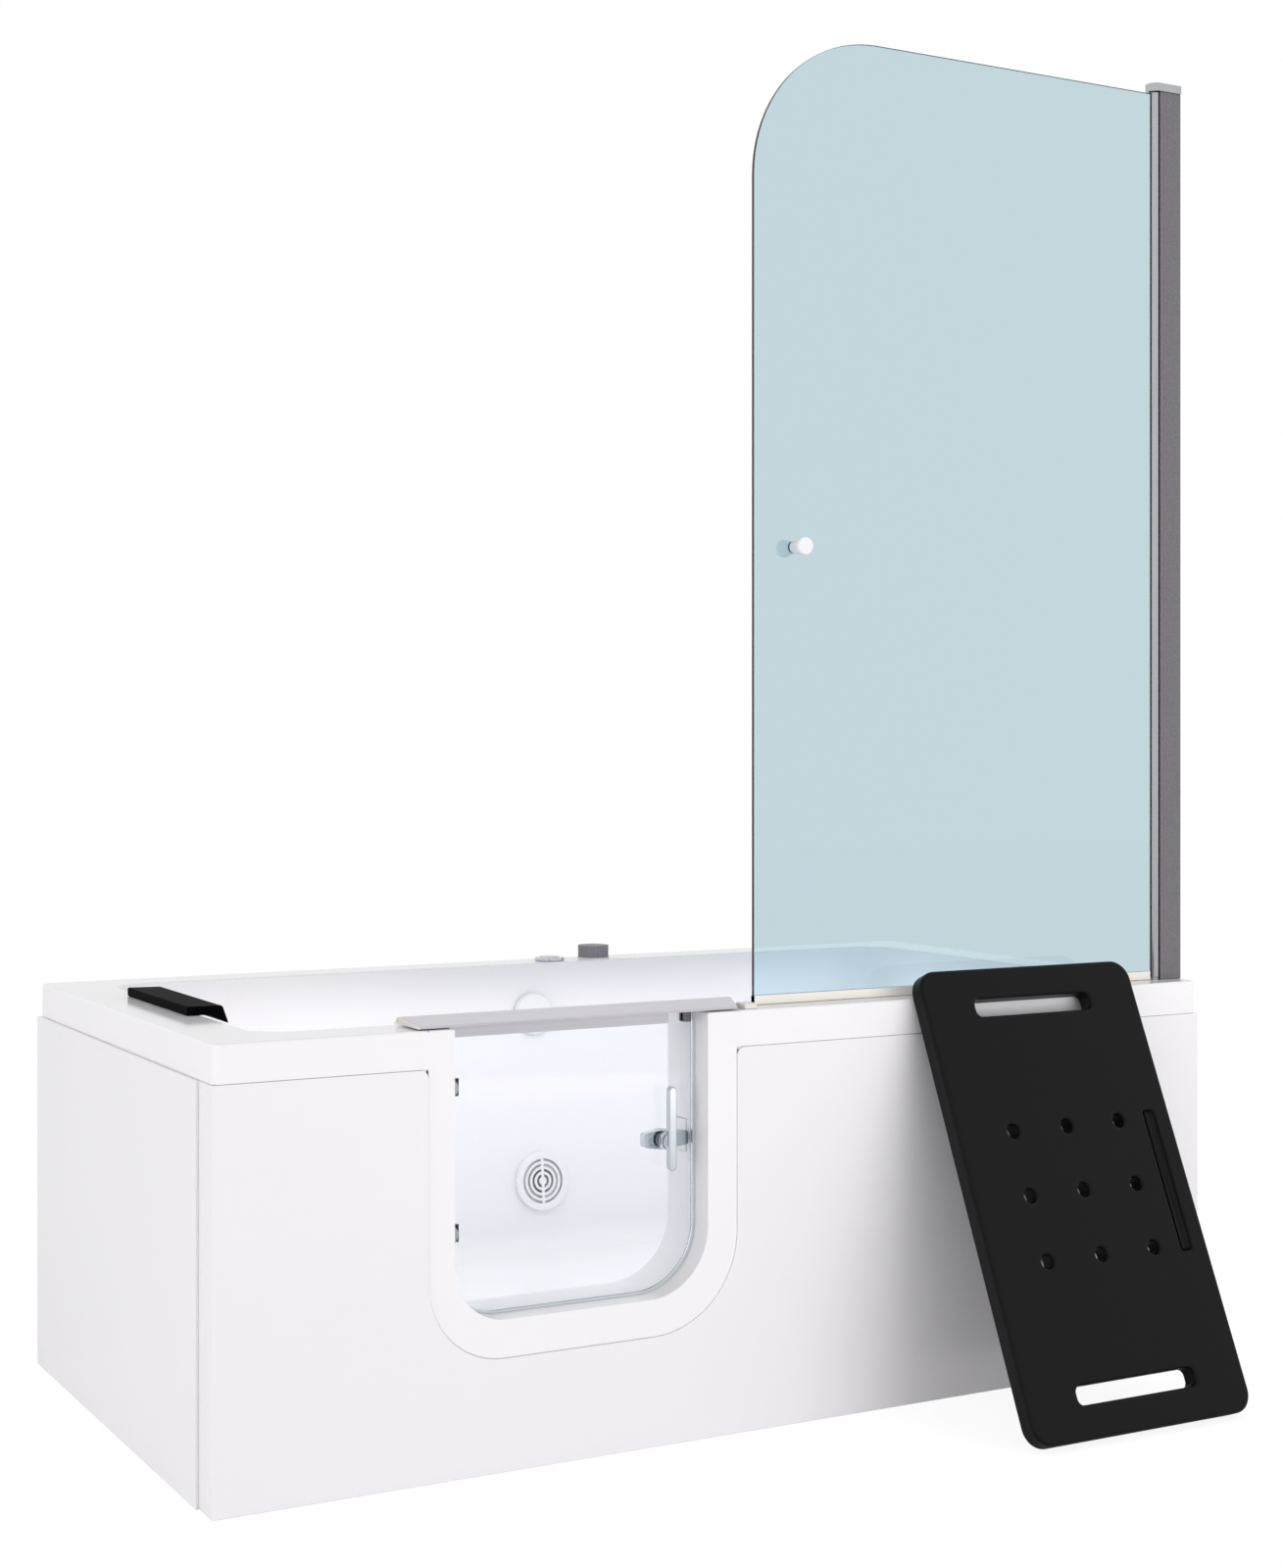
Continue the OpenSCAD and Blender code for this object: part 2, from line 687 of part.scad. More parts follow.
module front_panel() {
    y0 = front_y - panel_proud;
    y1 = y0 + panel_t;
    x1 = half_l + panel_proud - panel_gap / 2;
    top = skirt_z - panel_gap;
    round_top = 12;
    color("snow") difference() {
        union() {
            block(-x1, x1, y0, y1, panel_gap, top);
            for (s = [-1, 1])
                block(min(s * x1, s * (x1 - panel_t)), max(s * x1, s * (x1 - panel_t)), y0,
                    y0 + return_d, panel_gap, top);
            difference() {
                block(-x1, x1, y0, y1 + lip_w, top - panel_t, top);
                xz_slab(y1, y1 + 2 * lip_w) flange(2, rim_h);
            }
        }
        xz_slab(y0 - eps, y1 + eps) flange(panel_gap, rim_h);
        for (s = [-1, 1]) translate([s < 0 ? flange_x0 - panel_gap : flange_x1 + panel_gap, 0, 0])
            xz_slab(y0 - eps, y1 + eps) difference() {
                translate([-round_top, top - round_top]) square([2 * round_top, round_top + eps]);
                translate([s * round_top, top - round_top]) circle(round_top);
            }
    }
}

module end_panel(s) {
    x_out = half_l + end_proud;
    top = skirt_z - panel_gap;
    y0 = front_y - panel_proud + return_d + panel_gap;
    mirror([s < 0 ? 1 : 0, 0, 0]) {
        block(x_out - panel_t, x_out, y0, half_w, panel_gap, top);
        block(x_out - panel_t - lip_w, x_out - panel_t, y0, half_w, top - panel_t, top);
        block(x_out - panel_t - 2 * lip_w, x_out - panel_t, y0, y0 + panel_t, panel_gap,
            top - panel_t);
    }
}
module end_panels() {
    color("snow") for (s = [-1, 1]) end_panel(s);
}

module base_board() {
    color("burlywood") difference() {
        block(foot_x0, foot_x1, foot_y0, foot_y1, rail_z1, under_z);
        rod_z(waste_r + 4, rail_z1 - eps, under_z + eps, waste_x, waste_y);
    }
}

module tube_z(x, y, z0, z1) {
    difference() {
        block(x - tube_s / 2, x + tube_s / 2, y - tube_s / 2, y + tube_s / 2, z0, z1);
        block(x - tube_s / 2 + tube_t, x + tube_s / 2 - tube_t, y - tube_s / 2 + tube_t,
            y + tube_s / 2 - tube_t, z0 - eps, z1 + eps);
    }
}
module foot_holes() {
    for (f = feet) rod_z(stem_r + fit_gap, rail_z0 - eps, rail_z1 + eps, f.x, f.y);
}
module long_rails() {
    reach = upright_x + tube_s / 2;
    color("silver") difference() {
        for (s = [-1, 1]) difference() {
            block(-reach, reach, s * rail_y - tube_s / 2, s * rail_y + tube_s / 2, rail_z0, rail_z1);
            block(-reach - eps, reach + eps, s * rail_y - tube_s / 2 + tube_t,
                s * rail_y + tube_s / 2 - tube_t, rail_z0 + tube_t, rail_z1 - tube_t);
        }
        foot_holes();
    }
}
module cross_rails() {
    y = rail_y - tube_s / 2;
    color("silver") difference() {
        for (x = cross_xs) difference() {
            block(x - tube_s / 2, x + tube_s / 2, -y, y, rail_z0, rail_z1);
            block(x - tube_s / 2 + tube_t, x + tube_s / 2 - tube_t, -y - eps, y + eps,
                rail_z0 + tube_t, rail_z1 - tube_t);
        }
        foot_holes();
    }
}
module rim_uprights() {
    color("silver") for (x = [-upright_x, upright_x], y = [-rail_y, rail_y])
        tube_z(x, y, rail_z1, deck_z);
}

module foot_stems() {
    color("gainsboro") for (f = feet) rod_z(stem_r, pad_h, rail_z1 - 2, f.x, f.y);
}
module foot_pads() {
    color("dimgray") for (f = feet) {
        rod_z(pad_r, 0, pad_h / 2, f.x, f.y);
        rod_z(stem_r + 5, pad_h / 2, pad_h, f.x, f.y);
    }
}
module foot_nuts() {
    color("gainsboro") for (f = feet) difference() {
        translate([f.x, f.y, rail_z0 - nut_h]) cylinder(r = stem_r + 5, h = nut_h, $fn = 6);
        rod_z(stem_r + run_fit, rail_z0 - nut_h - eps, rail_z0 + eps, f.x, f.y);
    }
}

// Flat strip with a turned-up tab at both ends
module tab_strip(x, y0, y1, z, tab) {
    block(x - bracket_w / 2, x + bracket_w / 2, y0, y1, z, z + bracket_t);
    for (y = [y0, y1 - bracket_t])
        block(x - bracket_w / 2, x + bracket_w / 2, y, y + bracket_t, z, z + tab);
}
module support_brackets() {
    panel_y = front_y - panel_proud + panel_t;
    shelf_x1 = -upright_x + tube_s / 2 + shelf_over;
    shelf_y0 = rail_y + tube_s / 2;
    color("darkgray") {
        for (x = [-foot_x + bracket_in, foot_x - bracket_in])
            tab_strip(x, panel_y, -rail_y - tube_s / 2, rail_z0 + 3, tube_s - 6);
        for (s = [-1, 1], y = [-rail_y, rail_y])
            rotate([0, 0, 90]) tab_strip(y, s > 0 ? -half_l - end_proud + panel_t : upright_x + tube_s / 2,
                s > 0 ? -upright_x - tube_s / 2 : half_l + end_proud - panel_t, rail_z1 + bracket_rise,
                bracket_tab);
        block(-upright_x - tube_s / 2, shelf_x1, shelf_y0, service_y + shelf_over,
            shelf_z - bracket_t, shelf_z);
        block(-upright_x - tube_s / 2, -upright_x + tube_s / 2, shelf_y0, shelf_y0 + bracket_t,
            shelf_z - 60, shelf_z - bracket_t);
    }
}

module door_gasket() {
    color("gray") xz_slab(gasket_y0, gasket_y1) difference() {
        doorway(-seat_gap, glass_top);
        doorway(-gasket_w, glass_top + eps);
    }
}

module hinge_brackets() {
    color("silver") difference() {
        for (z = hinge_zs) {
            block(door_x0, door_x0 + bracket_plate_t, hinge_y - knuckle_r, bracket_y1,
                z - bracket_h / 2, z + bracket_h / 2);
            for (k = [[-leaf_h / 2 - 13, -leaf_h / 2 - fit_gap], [leaf_h / 2 + fit_gap, leaf_h / 2 + 13]]) {
                rod_z(knuckle_r, z + k[0], z + k[1], hinge_x, hinge_y);
                block(door_x0 + bracket_plate_t - eps, hinge_x, hinge_y - knuckle_r + eps,
                    hinge_y + knuckle_r - eps, z + k[0], z + k[1]);
            }
        }
        for (z = hinge_zs)
            rod_z(pin_r + run_fit / 2, z - bracket_h, z + bracket_h, hinge_x, hinge_y);
        bracket_screw_rods(bracket_screw_r + seat_gap / 2, door_x0 - eps, hinge_x);
    }
}
module hinge_pins() {
    color("silver") for (z = hinge_zs) {
        rod_z(pin_r, z - leaf_h / 2 - 13, z + leaf_h / 2 + 13, hinge_x, hinge_y);
        rod_z(pin_r + 1.5, z + leaf_h / 2 + 13, z + leaf_h / 2 + 15, hinge_x, hinge_y);
    }
}
module bracket_screws() {
    head_x = door_x0 + bracket_plate_t;
    color("gainsboro") {
        bracket_screw_rods(bracket_screw_r, door_x0 - shell_t - frame_t / 2, head_x);
        bracket_screw_rods(bracket_screw_r + 1.8, head_x, head_x + 1.6);
    }
}
module strike_plate() {
    color("silver") block(door_x1 - seat_gap, door_x1 + strike_t - seat_gap, strike_y0, strike_y1,
        latch_h - strike_h / 2, latch_h + strike_h / 2);
}
module plate_stop() {
    x = plate_x0 + plate_l + plate_slant - 17;
    color("oldlace") block(x, x + 20, front_y + 5, front_y + 30, rim_h, rim_h + 8);
}
module headrest_pillow() {
    back_x = basin_x0 - pillow_back;
    lip_x = basin_x0 + pillow_lip;
    color([0.05, 0.05, 0.05]) xz_slab(pillow_y - pillow_l / 2, pillow_y + pillow_l / 2)
        polygon([[back_x, rim_h], [basin_x0 + pillow_edge, rim_h],
            [basin_x0 + 2 * pillow_back / 3, rim_h - 2], [lip_x, rim_h - pillow_t], [lip_x - pillow_slant, rim_h + pillow_t - 1],
            [back_x, rim_h + pillow_t]]);
}

module suction_cover() {
    color("whitesmoke") on_rear_wall(wall_x, suction_z) translate([0, 0, seat_gap]) difference() {
        cylinder(r = suction_r, h = cover_h);
        translate([0, 0, -eps]) cylinder(r = suction_r - 3, h = cover_h - 3 + eps);
        for (k = [0:3]) difference() {
            ring(slot_r0 + k * slot_pitch, slot_r0 + k * slot_pitch + slot_ring_w, -eps, cover_h + eps);
            translate([-2.5, -suction_r, -1]) cube([5, 2 * suction_r, cover_h + 2]);
        }
    }
}
module suction_body() {
    color("gainsboro") difference() {
        union() {
            on_rear_wall(wall_x, suction_z) {
                translate([0, 0, -suction_l]) cylinder(r = suction_pipe_r, h = suction_l);
                translate([0, 0, -shell_t - seat_gap - 6]) cylinder(r = suction_r - 12, h = 6);
            }
            rod_x(elbow_r, wall_x - elbow_r, wall_x + elbow_r, service_y, suction_axis_z);
        }
        on_rear_wall(wall_x, suction_z) translate([0, 0, -suction_l])
            cylinder(r = suction_pipe_r - pipe_t, h = suction_l + eps);
        rod_x(suction_pipe_r - pipe_t, wall_x - elbow_r - eps, wall_x + elbow_r - pipe_t, service_y,
            suction_axis_z);
    }
}
module suction_pipe() {
    color("gainsboro") difference() {
        rod_x(suction_pipe_r, pump_x1, wall_x - elbow_r, service_y, suction_axis_z);
        rod_x(suction_pipe_r - pipe_t, pump_x1 - eps, wall_x - elbow_r + eps, service_y, suction_axis_z);
    }
}
module pump_housing() {
    color([0.2, 0.2, 0.22]) difference() {
        union() {
            rod_x(pump_r, pump_x1 - pump_w, pump_x1, service_y, suction_axis_z);
            rod_z(pressure_pipe_r + pipe_t, suction_axis_z, pump_out_z, pump_out_x, pressure_y);
        }
        rod_x(suction_pipe_r - pipe_t, pump_x1 - 20, pump_x1 + eps, service_y, suction_axis_z);
        rod_z(pressure_pipe_r - pipe_t, pump_out_z - 30, pump_out_z + eps, pump_out_x, pressure_y);
    }
}
module pump_motor() {
    x1 = pump_x1 - pump_w;
    color([0.3, 0.3, 0.32]) {
        rod_x(motor_r, x1 - motor_l, x1, service_y, suction_axis_z);
        for (k = [0:6]) rod_x(motor_r + 3, x1 - motor_l + 12 + 14 * k, x1 - motor_l + 16 + 14 * k,
            service_y, suction_axis_z);
        block(x1 - motor_l + 20, x1 - 20, service_y - 20, service_y + 20, shelf_z,
            suction_axis_z - motor_r + 5);
        block(switch_x - 28, switch_x + 28, service_y - 20, service_y + 20,
            suction_axis_z + motor_r - 5, switch_z);
    }
}
module pressure_run(r, e) {
    rod_z(r, pump_out_z - e, pressure_z - riser_bend + eps, pump_out_x, pressure_y);
    translate([pump_out_x + riser_bend, pressure_y, pressure_z - riser_bend])
        mirror([1, 0, 0]) bend(r, riser_bend);
    rod_x(r, pump_out_x + riser_bend, jet_xs[3] + jet_r + 2 * e, pressure_y, pressure_z);
    for (x = jet_xs) on_rear_wall(x, jet_z) translate([0, 0, -jet_l])
        cylinder(r = r, h = jet_l - jet_body_l + e);
}
module pressure_pipe() {
    color("gainsboro") difference() {
        union() {
            pressure_run(pressure_pipe_r, 0);
            rod_x(pressure_pipe_r, jet_xs[3] + jet_r, jet_xs[3] + jet_r + 2 * pipe_t, pressure_y, pressure_z);
        }
        pressure_run(pressure_pipe_r - pipe_t, eps);
    }
}
module jet_bodies() {
    color("gainsboro") for (x = jet_xs) on_rear_wall(x, jet_z) difference() {
        union() {
            translate([0, 0, -jet_body_l]) cylinder(r = jet_barrel_r, h = jet_body_l);
            translate([0, 0, -shell_t - seat_gap - 6]) cylinder(r = jet_r - 2, h = 6);
        }
        translate([0, 0, -jet_body_l - eps]) cylinder(r = pressure_pipe_r - pipe_t, h = jet_body_l + 2 * eps);
    }
}
module jet_nozzles() {
    color("whitesmoke") for (x = jet_xs) on_rear_wall(x, jet_z) difference() {
        union() {
            ring(jet_barrel_r - 6, jet_r, seat_gap, 4);
            translate([0, 0, seat_gap]) cylinder(r = jet_barrel_r - 4, h = 6);
        }
        translate([0, 0, -eps]) cylinder(r = 7, h = 8);
    }
}

module overflow_cover() {
    color("white") on_rear_wall(wall_x, overflow_z) {
        translate([0, 0, cover_neck]) cylinder(r = overflow_r, h = 5);
        translate([0, 0, cover_neck + 5]) cylinder(r = overflow_r - 2, h = 1.5);
        ring(overflow_barrel_r - 5, overflow_barrel_r, seat_gap, cover_neck);
    }
}
module overflow_body() {
    color("gainsboro") difference() {
        union() {
            on_rear_wall(wall_x, overflow_z) {
                translate([0, 0, -2 * overflow_in]) cylinder(r = overflow_barrel_r, h = 2 * overflow_in);
                translate([0, 0, -shell_t - seat_gap - 6]) cylinder(r = overflow_barrel_r + 9, h = 6);
            }
            rod_x(overflow_pipe_r + 1, wall_x, overflow_out_x, overflow_y, overflow_out_z);
        }
        on_rear_wall(wall_x, overflow_z) translate([0, 0, -2 * overflow_in + pipe_t])
            cylinder(r = overflow_barrel_r - pipe_t, h = 2 * overflow_in);
        rod_x(overflow_pipe_r - pipe_t, wall_x, overflow_out_x + eps, overflow_y, overflow_out_z);
    }
}
module overflow_run(r, e) {
    rod_x(r, overflow_out_x - e, waste_x - pipe_bend, overflow_y, overflow_out_z);
    translate([waste_x - pipe_bend, overflow_y, overflow_out_z - pipe_bend]) bend(r, pipe_bend);
    rod_z(r, overflow_low_z + pipe_bend, overflow_out_z - pipe_bend, waste_x, overflow_y);
    translate([waste_x, overflow_y - pipe_bend, overflow_low_z + pipe_bend])
        mirror([0, 0, 1]) rotate([0, 0, 90]) bend(r, pipe_bend);
    rod_y(r, waste_stub_y - e, overflow_y - pipe_bend, waste_x, overflow_low_z);
}
module overflow_pipe() {
    color("gainsboro") difference() {
        overflow_run(overflow_pipe_r, 0);
        overflow_run(overflow_pipe_r - pipe_t, eps);
    }
}

module waste_body() {
    color("silver") difference() {
        union() {
            rod_z(waste_r, basin_floor, basin_floor + waste_flange_t, waste_x, waste_y);
            rod_z(barrel_r, barrel_z0, basin_floor, waste_x, waste_y);
            rod_z(waste_r - 2, under_z - 8, under_z, waste_x, waste_y);
            rod_y(overflow_pipe_r + 1, waste_y, waste_stub_y, waste_x, overflow_low_z);
            rod_x(cable_r + 2.5, waste_x + barrel_r - 2, waste_x + barrel_r + waste_port_l, waste_y,
                waste_port_z);
        }
        rod_z(barrel_r - pipe_t, barrel_z0 - eps, basin_floor + 2 * waste_flange_t, waste_x, waste_y);
        rod_y(overflow_pipe_r - pipe_t, waste_y, waste_stub_y + eps, waste_x, overflow_low_z);
    }
}
module waste_trap() {
    color("whitesmoke") difference() {
        union() {
            rod_z(trap_r, trap_z0, barrel_z0, waste_x, waste_y);
            rod_x(outlet_r + pipe_t, waste_x + trap_r - 5, outlet_x, waste_y, outlet_z);
            translate([outlet_x, waste_y, outlet_z]) sphere(outlet_r + pipe_t);
            rod_y(outlet_r + pipe_t, waste_y, outlet_end, outlet_x, outlet_z);
        }
        rod_z(trap_r - pipe_t, trap_z0 + pipe_t, barrel_z0 - pipe_t, waste_x, waste_y);
        rod_z(barrel_r - pipe_t, barrel_z0 - 2 * pipe_t, barrel_z0 + eps, waste_x, waste_y);
        rod_x(outlet_r, waste_x + trap_r - pipe_t - 2, outlet_x, waste_y, outlet_z);
        translate([outlet_x, waste_y, outlet_z]) sphere(outlet_r + 1);
        rod_y(outlet_r + 1, waste_y, outlet_end - outlet_bore, outlet_x, outlet_z);
        rod_y(outlet_r, waste_y, outlet_end + eps, outlet_x, outlet_z);
    }
}
module waste_plug() {
    z = basin_floor + waste_flange_t + seat_gap;
    color("silver") {
        rod_z(waste_r - 5, z, z + plug_t, waste_x, waste_y);
        rod_z(spindle_r, z - plug_lift - plug_guide, z, waste_x, waste_y);
    }
}
module bowden_cable() {
    color([0.15, 0.15, 0.15]) tube_along(cable_route, cable_r);
}

module knob_housing() {
    color("silver") difference() {
        union() {
            rod_z(knob_body_r, deck_z - knob_body_h, deck_z, knob_x, knob_cy);
            rod_z(cable_r + 2, deck_z - knob_body_h - 10, deck_z - knob_body_h, knob_x, knob_cy);
            rod_z(collar_r, deck_z, rim_h, knob_x, knob_cy);
            rod_z(control_r + 1, rim_h, rim_h + knob_base_t, knob_x, knob_cy);
        }
        rod_z(knob_stem_r + run_fit, deck_z - 20, rim_h + knob_base_t + eps, knob_x, knob_cy);
    }
}
module control_knob() {
    z = rim_h + knob_base_t + fit_gap;
    ribs = 28;
    color("gray") difference() {
        union() {
            rod_z(control_r, z, z + control_h, knob_x, knob_cy);
            rod_z(knob_stem_r, deck_z - 19, z, knob_x, knob_cy);
        }
        for (k = [0:ribs - 1]) translate([knob_x, knob_cy, z + 2]) rotate([0, 0, 360 * k / ribs])
            translate([control_r + 0.7, 0, 0]) cylinder(r = 1.6, h = control_h, $fn = 24);
    }
}
module button_bezel() {
    color("silver") translate([button_x, button_cy, 0]) ring(button_r + fit_gap, bezel_r, rim_h, rim_h + 6);
}
module button_housing() {
    color("gainsboro") difference() {
        union() {
            rod_z(button_collar_r + 4, deck_z - 33, deck_z, button_x, button_cy);
            rod_z(button_collar_r, deck_z, rim_h, button_x, button_cy);
            rod_z(tube_r + 1.5, deck_z - 43, deck_z - 33, button_x, button_cy);
        }
        rod_z(button_r + fit_gap, deck_z - 8, rim_h + eps, button_x, button_cy);
        rod_z(spindle_r + run_fit, deck_z - 28, deck_z, button_x, button_cy);
    }
}
module push_button() {
    color("linen") {
        rod_z(button_r, deck_z - 8 + button_travel + 1, rim_h + 7.5, button_x, button_cy);
        rod_z(spindle_r, deck_z - 28 + button_travel + 1, deck_z - 4, button_x, button_cy);
    }
}
module air_tube() {
    color("lightblue") tube_along(tube_route, tube_r);
}

module screen_wall_profile() {
    y0 = pivot_y - profile_d / 2;
    y1 = pivot_y + profile_d / 2;
    color("gray") difference() {
        union() {
            block(pivot_x + profile_open, half_l, y0, y0 + profile_t, rim_h, profile_top);
            block(half_l - profile_web, half_l, y0, y1, rim_h, profile_top);
            block(pivot_x + pivot_r + 2, half_l, y1 - profile_t, y1, rim_h, profile_top);
        }
        for (z = profile_zs) rod_x(profile_hole_r, half_l - 2 * profile_web, half_l + eps, pivot_y, z);
    }
}
module profile_end_caps() {
    cap_r = profile_d / 2 + 2;
    color("silver") {
        translate([0, 0, profile_top]) linear_extrude(profile_cap) {
            translate([pivot_x, pivot_y]) circle(cap_r);
            translate([pivot_x, pivot_y - cap_r]) square([half_l - pivot_x, 2 * cap_r]);
        }
        rod_z(pivot_pin_r, profile_top - pivot_pin_l, profile_top, pivot_x, pivot_y);
        rod_z(pivot_r - fit_gap, rim_h, rim_h + bearing_h, pivot_x, pivot_y);
        block(pivot_x, half_l - profile_web, pivot_y - 6, pivot_y + 6, rim_h, rim_h + bearing_h);
        rod_z(pivot_pin_r, rim_h + bearing_h, rim_h + bearing_h + pivot_pin_l, pivot_x, pivot_y);
    }
}
module pivot_bar() {
    z0 = rim_h + bearing_h + fit_gap;
    z1 = profile_top - 1;
    color("silver") difference() {
        rod_z(pivot_r, z0, z1, pivot_x, pivot_y);
        rod_z(pivot_pin_r + run_fit, z0 - eps, z0 + pivot_pin_l, pivot_x, pivot_y);
        rod_z(pivot_pin_r + run_fit, z1 - pivot_pin_l, z1 + eps, pivot_x, pivot_y);
        block(pivot_x - pivot_r - eps, screen_x1, pivot_y - screen_t / 2, pivot_y + screen_t / 2,
            z0 - eps, z1 + eps);
    }
}
module screen_glass() {
    color([0.75, 0.88, 0.93, 0.5]) xz_slab(pivot_y - screen_t / 2, pivot_y + screen_t / 2) difference() {
        union() {
            translate([screen_x0, glass_low]) square([screen_x1 - screen_x0, screen_top - screen_r - glass_low]);
            translate([screen_x0 + screen_r, glass_low])
                square([screen_x1 - screen_x0 - screen_r, screen_top - glass_low]);
            translate([screen_x0 + screen_r, screen_top - screen_r]) circle(screen_r, $fn = 128);
        }
        translate([screen_x0 + knob_in, knob_z]) circle(spindle_r + fit_gap);
    }
}
module screen_seal() {
    color("linen") difference() {
        block(screen_x0, pivot_x - pivot_r - 3, pivot_y - seal_t / 2, pivot_y + seal_t / 2, seal_z0,
            seal_z0 + seal_h);
        block(screen_x0 - eps, pivot_x, pivot_y - screen_t / 2, pivot_y + screen_t / 2, glass_low,
            seal_z0 + seal_h + eps);
    }
}
module knob_half() {
    rotate_extrude() polygon([[0, 0], [knob_r * 0.7, 0], [knob_r * 0.8, knob_l * 0.4],
        [knob_r, knob_l * 0.75], [knob_r, knob_l - 2], [knob_r - 1.5, knob_l], [0, knob_l]]);
}
module screen_knobs() {
    x = screen_x0 + knob_in;
    color("white") {
        translate([x, pivot_y - screen_t / 2, knob_z]) rotate([90, 0, 0]) knob_half();
        rod_y(spindle_r, pivot_y - screen_t / 2, pivot_y + screen_t / 2 + 10, x, knob_z);
        difference() {
            translate([x, pivot_y + screen_t / 2, knob_z]) rotate([-90, 0, 0]) knob_half();
            rod_y(spindle_r + run_fit, pivot_y + screen_t / 2 - eps, pivot_y + screen_t / 2 + 10 + seat_gap,
                x, knob_z);
        }
    }
}

module door_glass() {
    color([0.85, 0.95, 0.95, 0.5]) xz_slab(glass_y0, glass_y1) difference() {
        doorway(-glass_gap, glass_top);
        for (z = hinge_zs) translate([stud_x, z]) circle(stud_r + fit_gap);
        translate([latch_x, latch_h]) circle(sleeve_r + fit_gap);
    }
}
module plate_section() {
    polygon([[front_y, plate_z0], [plate_y1, plate_z0], [plate_y1, plate_z0 + plate_rear_t - 1],
        [plate_y1 - 4, plate_z0 + plate_rear_t], [front_y, plate_z0 + plate_front_t]]);
}
module top_plate() {
    color("silver") intersection() {
        yz_slab(plate_x0, plate_x0 + plate_l + plate_slant) plate_section();
        translate([0, 0, plate_z0 - 1]) linear_extrude(plate_rear_t + 2)
            polygon([[plate_x0, front_y - 1], [plate_x0 + plate_l - plate_slant / plate_d, front_y - 1],
                [plate_x0 + plate_l + plate_slant, plate_y1], [plate_x0, plate_y1]]);
    }
}
module plate_end_cap() {
    color("oldlace") difference() {
        yz_slab(plate_x0 - cap_end_t, plate_x0) plate_section();
        rod_x(1.5, plate_x0 - cap_end_t - eps, plate_x0 - 1, plate_y1 - 6, plate_z0 + 4.5);
    }
}
module clamp_rail() {
    color("silver") difference() {
        block(clamp_x0, clamp_x1, glass_y0 - clamp_cheek, glass_y1 + clamp_cheek, clamp_z0, plate_z0);
        block(clamp_x0 - eps, clamp_x1 + eps, glass_y0, glass_y1, clamp_z0 - eps, glass_top);
        clamp_screw_rods(2.6, glass_y1 - eps, glass_y1 + clamp_cheek + eps);
    }
}
module clamp_screw_rods(r, y0, y1) {
    for (k = [0:3]) rod_y(r, y0, y1, clamp_x0 + 26 + k * (clamp_l - 52) / 3, clamp_z0 + 7);
}
module clamp_screws() {
    color("gray") clamp_screw_rods(2.5, glass_y1, glass_y1 + clamp_cheek + 1);
}
module hinge_leaves() {
    x0 = hinge_x - 2;
    color("silver") {
        difference() {
            for (z = hinge_zs) {
                block(x0, x0 + leaf_l, glass_y1, glass_y1 + leaf_t, z - leaf_h / 2, z + leaf_h / 2);
                rod_z(knuckle_r, z - leaf_h / 2, z + leaf_h / 2, hinge_x, hinge_y);
                block(hinge_x - 2, hinge_x + knuckle_r, glass_y1 + leaf_t - eps, hinge_y, z - leaf_h / 2,
                    z + leaf_h / 2);
            }
            for (z = hinge_zs) rod_z(pin_r + run_fit, z - leaf_h, z + leaf_h, hinge_x, hinge_y);
        }
        for (z = hinge_zs) rod_y(stud_r, glass_y0, glass_y1, stud_x, z);
    }
}
module hinge_caps() {
    x0 = hinge_x - 2;
    r = leaf_h / 2;
    color("silver") for (z = hinge_zs) translate([x0, 0, z]) xz_slab(glass_y0 - cap_t, glass_y0)
        intersection() {
            translate([0, -r]) square([cap_w, 2 * r]);
            union() {
                translate([cap_w - r, 0]) circle(r);
                translate([-r, -r]) square([cap_w, 2 * r]);
            }
        }
}
module latch_rose() {
    color("silver") {
        difference() {
            union() {
                rod_y(rose_r, glass_y0 - rose_l, glass_y0, latch_x, latch_h);
                rod_y(sleeve_r, glass_y0, glass_y1 - seat_gap, latch_x, latch_h);
            }
            rod_y(spindle_r + run_fit, glass_y0 - rose_l - eps, glass_y1 + eps, latch_x, latch_h);
        }
        difference() {
            rod_y(rose_r - 1.5, glass_y1, glass_y1 + nut_t, latch_x, latch_h);
            rod_y(spindle_r + run_fit, glass_y1 - eps, glass_y1 + nut_t + eps, latch_x, latch_h);
        }
    }
}
module corner_buffer() {
    color([0.12, 0.12, 0.12]) difference() {
        block(door_x1 - 18.5, door_x1 - 6, glass_y0 - 4.5, glass_y1 + 4.5, clamp_z0, plate_z0);
        block(door_x1 - 19, door_x1 - 5, glass_y0, glass_y1, clamp_z0 - eps, glass_top);
    }
}
module lever_handle() {
    y0 = lever_y1 - hub_l - lever_t;
    w = lever_w / 2;
    color("silver") difference() {
        union() {
            xz_slab(y0, y0 + lever_t) {
                translate([latch_x - w, latch_h - lever_down + w])
                    square([lever_w, lever_up + lever_down - lever_w]);
                translate([latch_x, latch_h - lever_down + w]) circle(w);
                translate([latch_x, latch_h + lever_up - w]) circle(w);
            }
            rod_y(rose_r - 1.5, lever_y1 - hub_l - 3, lever_y1, latch_x, latch_h);
        }
        rod_y(spindle_r + 0.02, y0 + 2, lever_y1 + eps, latch_x, latch_h);
    }
}
module latch_spindle() {
    color("gray") rod_y(spindle_r, lever_y1 - hub_l - lever_t + 2, bar_y1 - 4, latch_x, latch_h);
}
module latch_bar() {
    color("silver") difference() {
        translate([latch_x, 0, latch_h]) xz_slab(bar_y0, bar_y1)
            polygon([[-bar_tail, -8], [-bar_tail + 2, -10], [0, -14], [bar_arm - 2, -10], [bar_arm, -8],
                [bar_arm, 8], [bar_arm - 2, 10], [0, 14], [-bar_tail + 2, 10], [-bar_tail, 8]]);
        rod_y(spindle_r + 0.02, bar_y0 - eps, bar_y1 - 4, latch_x, latch_h);
    }
}

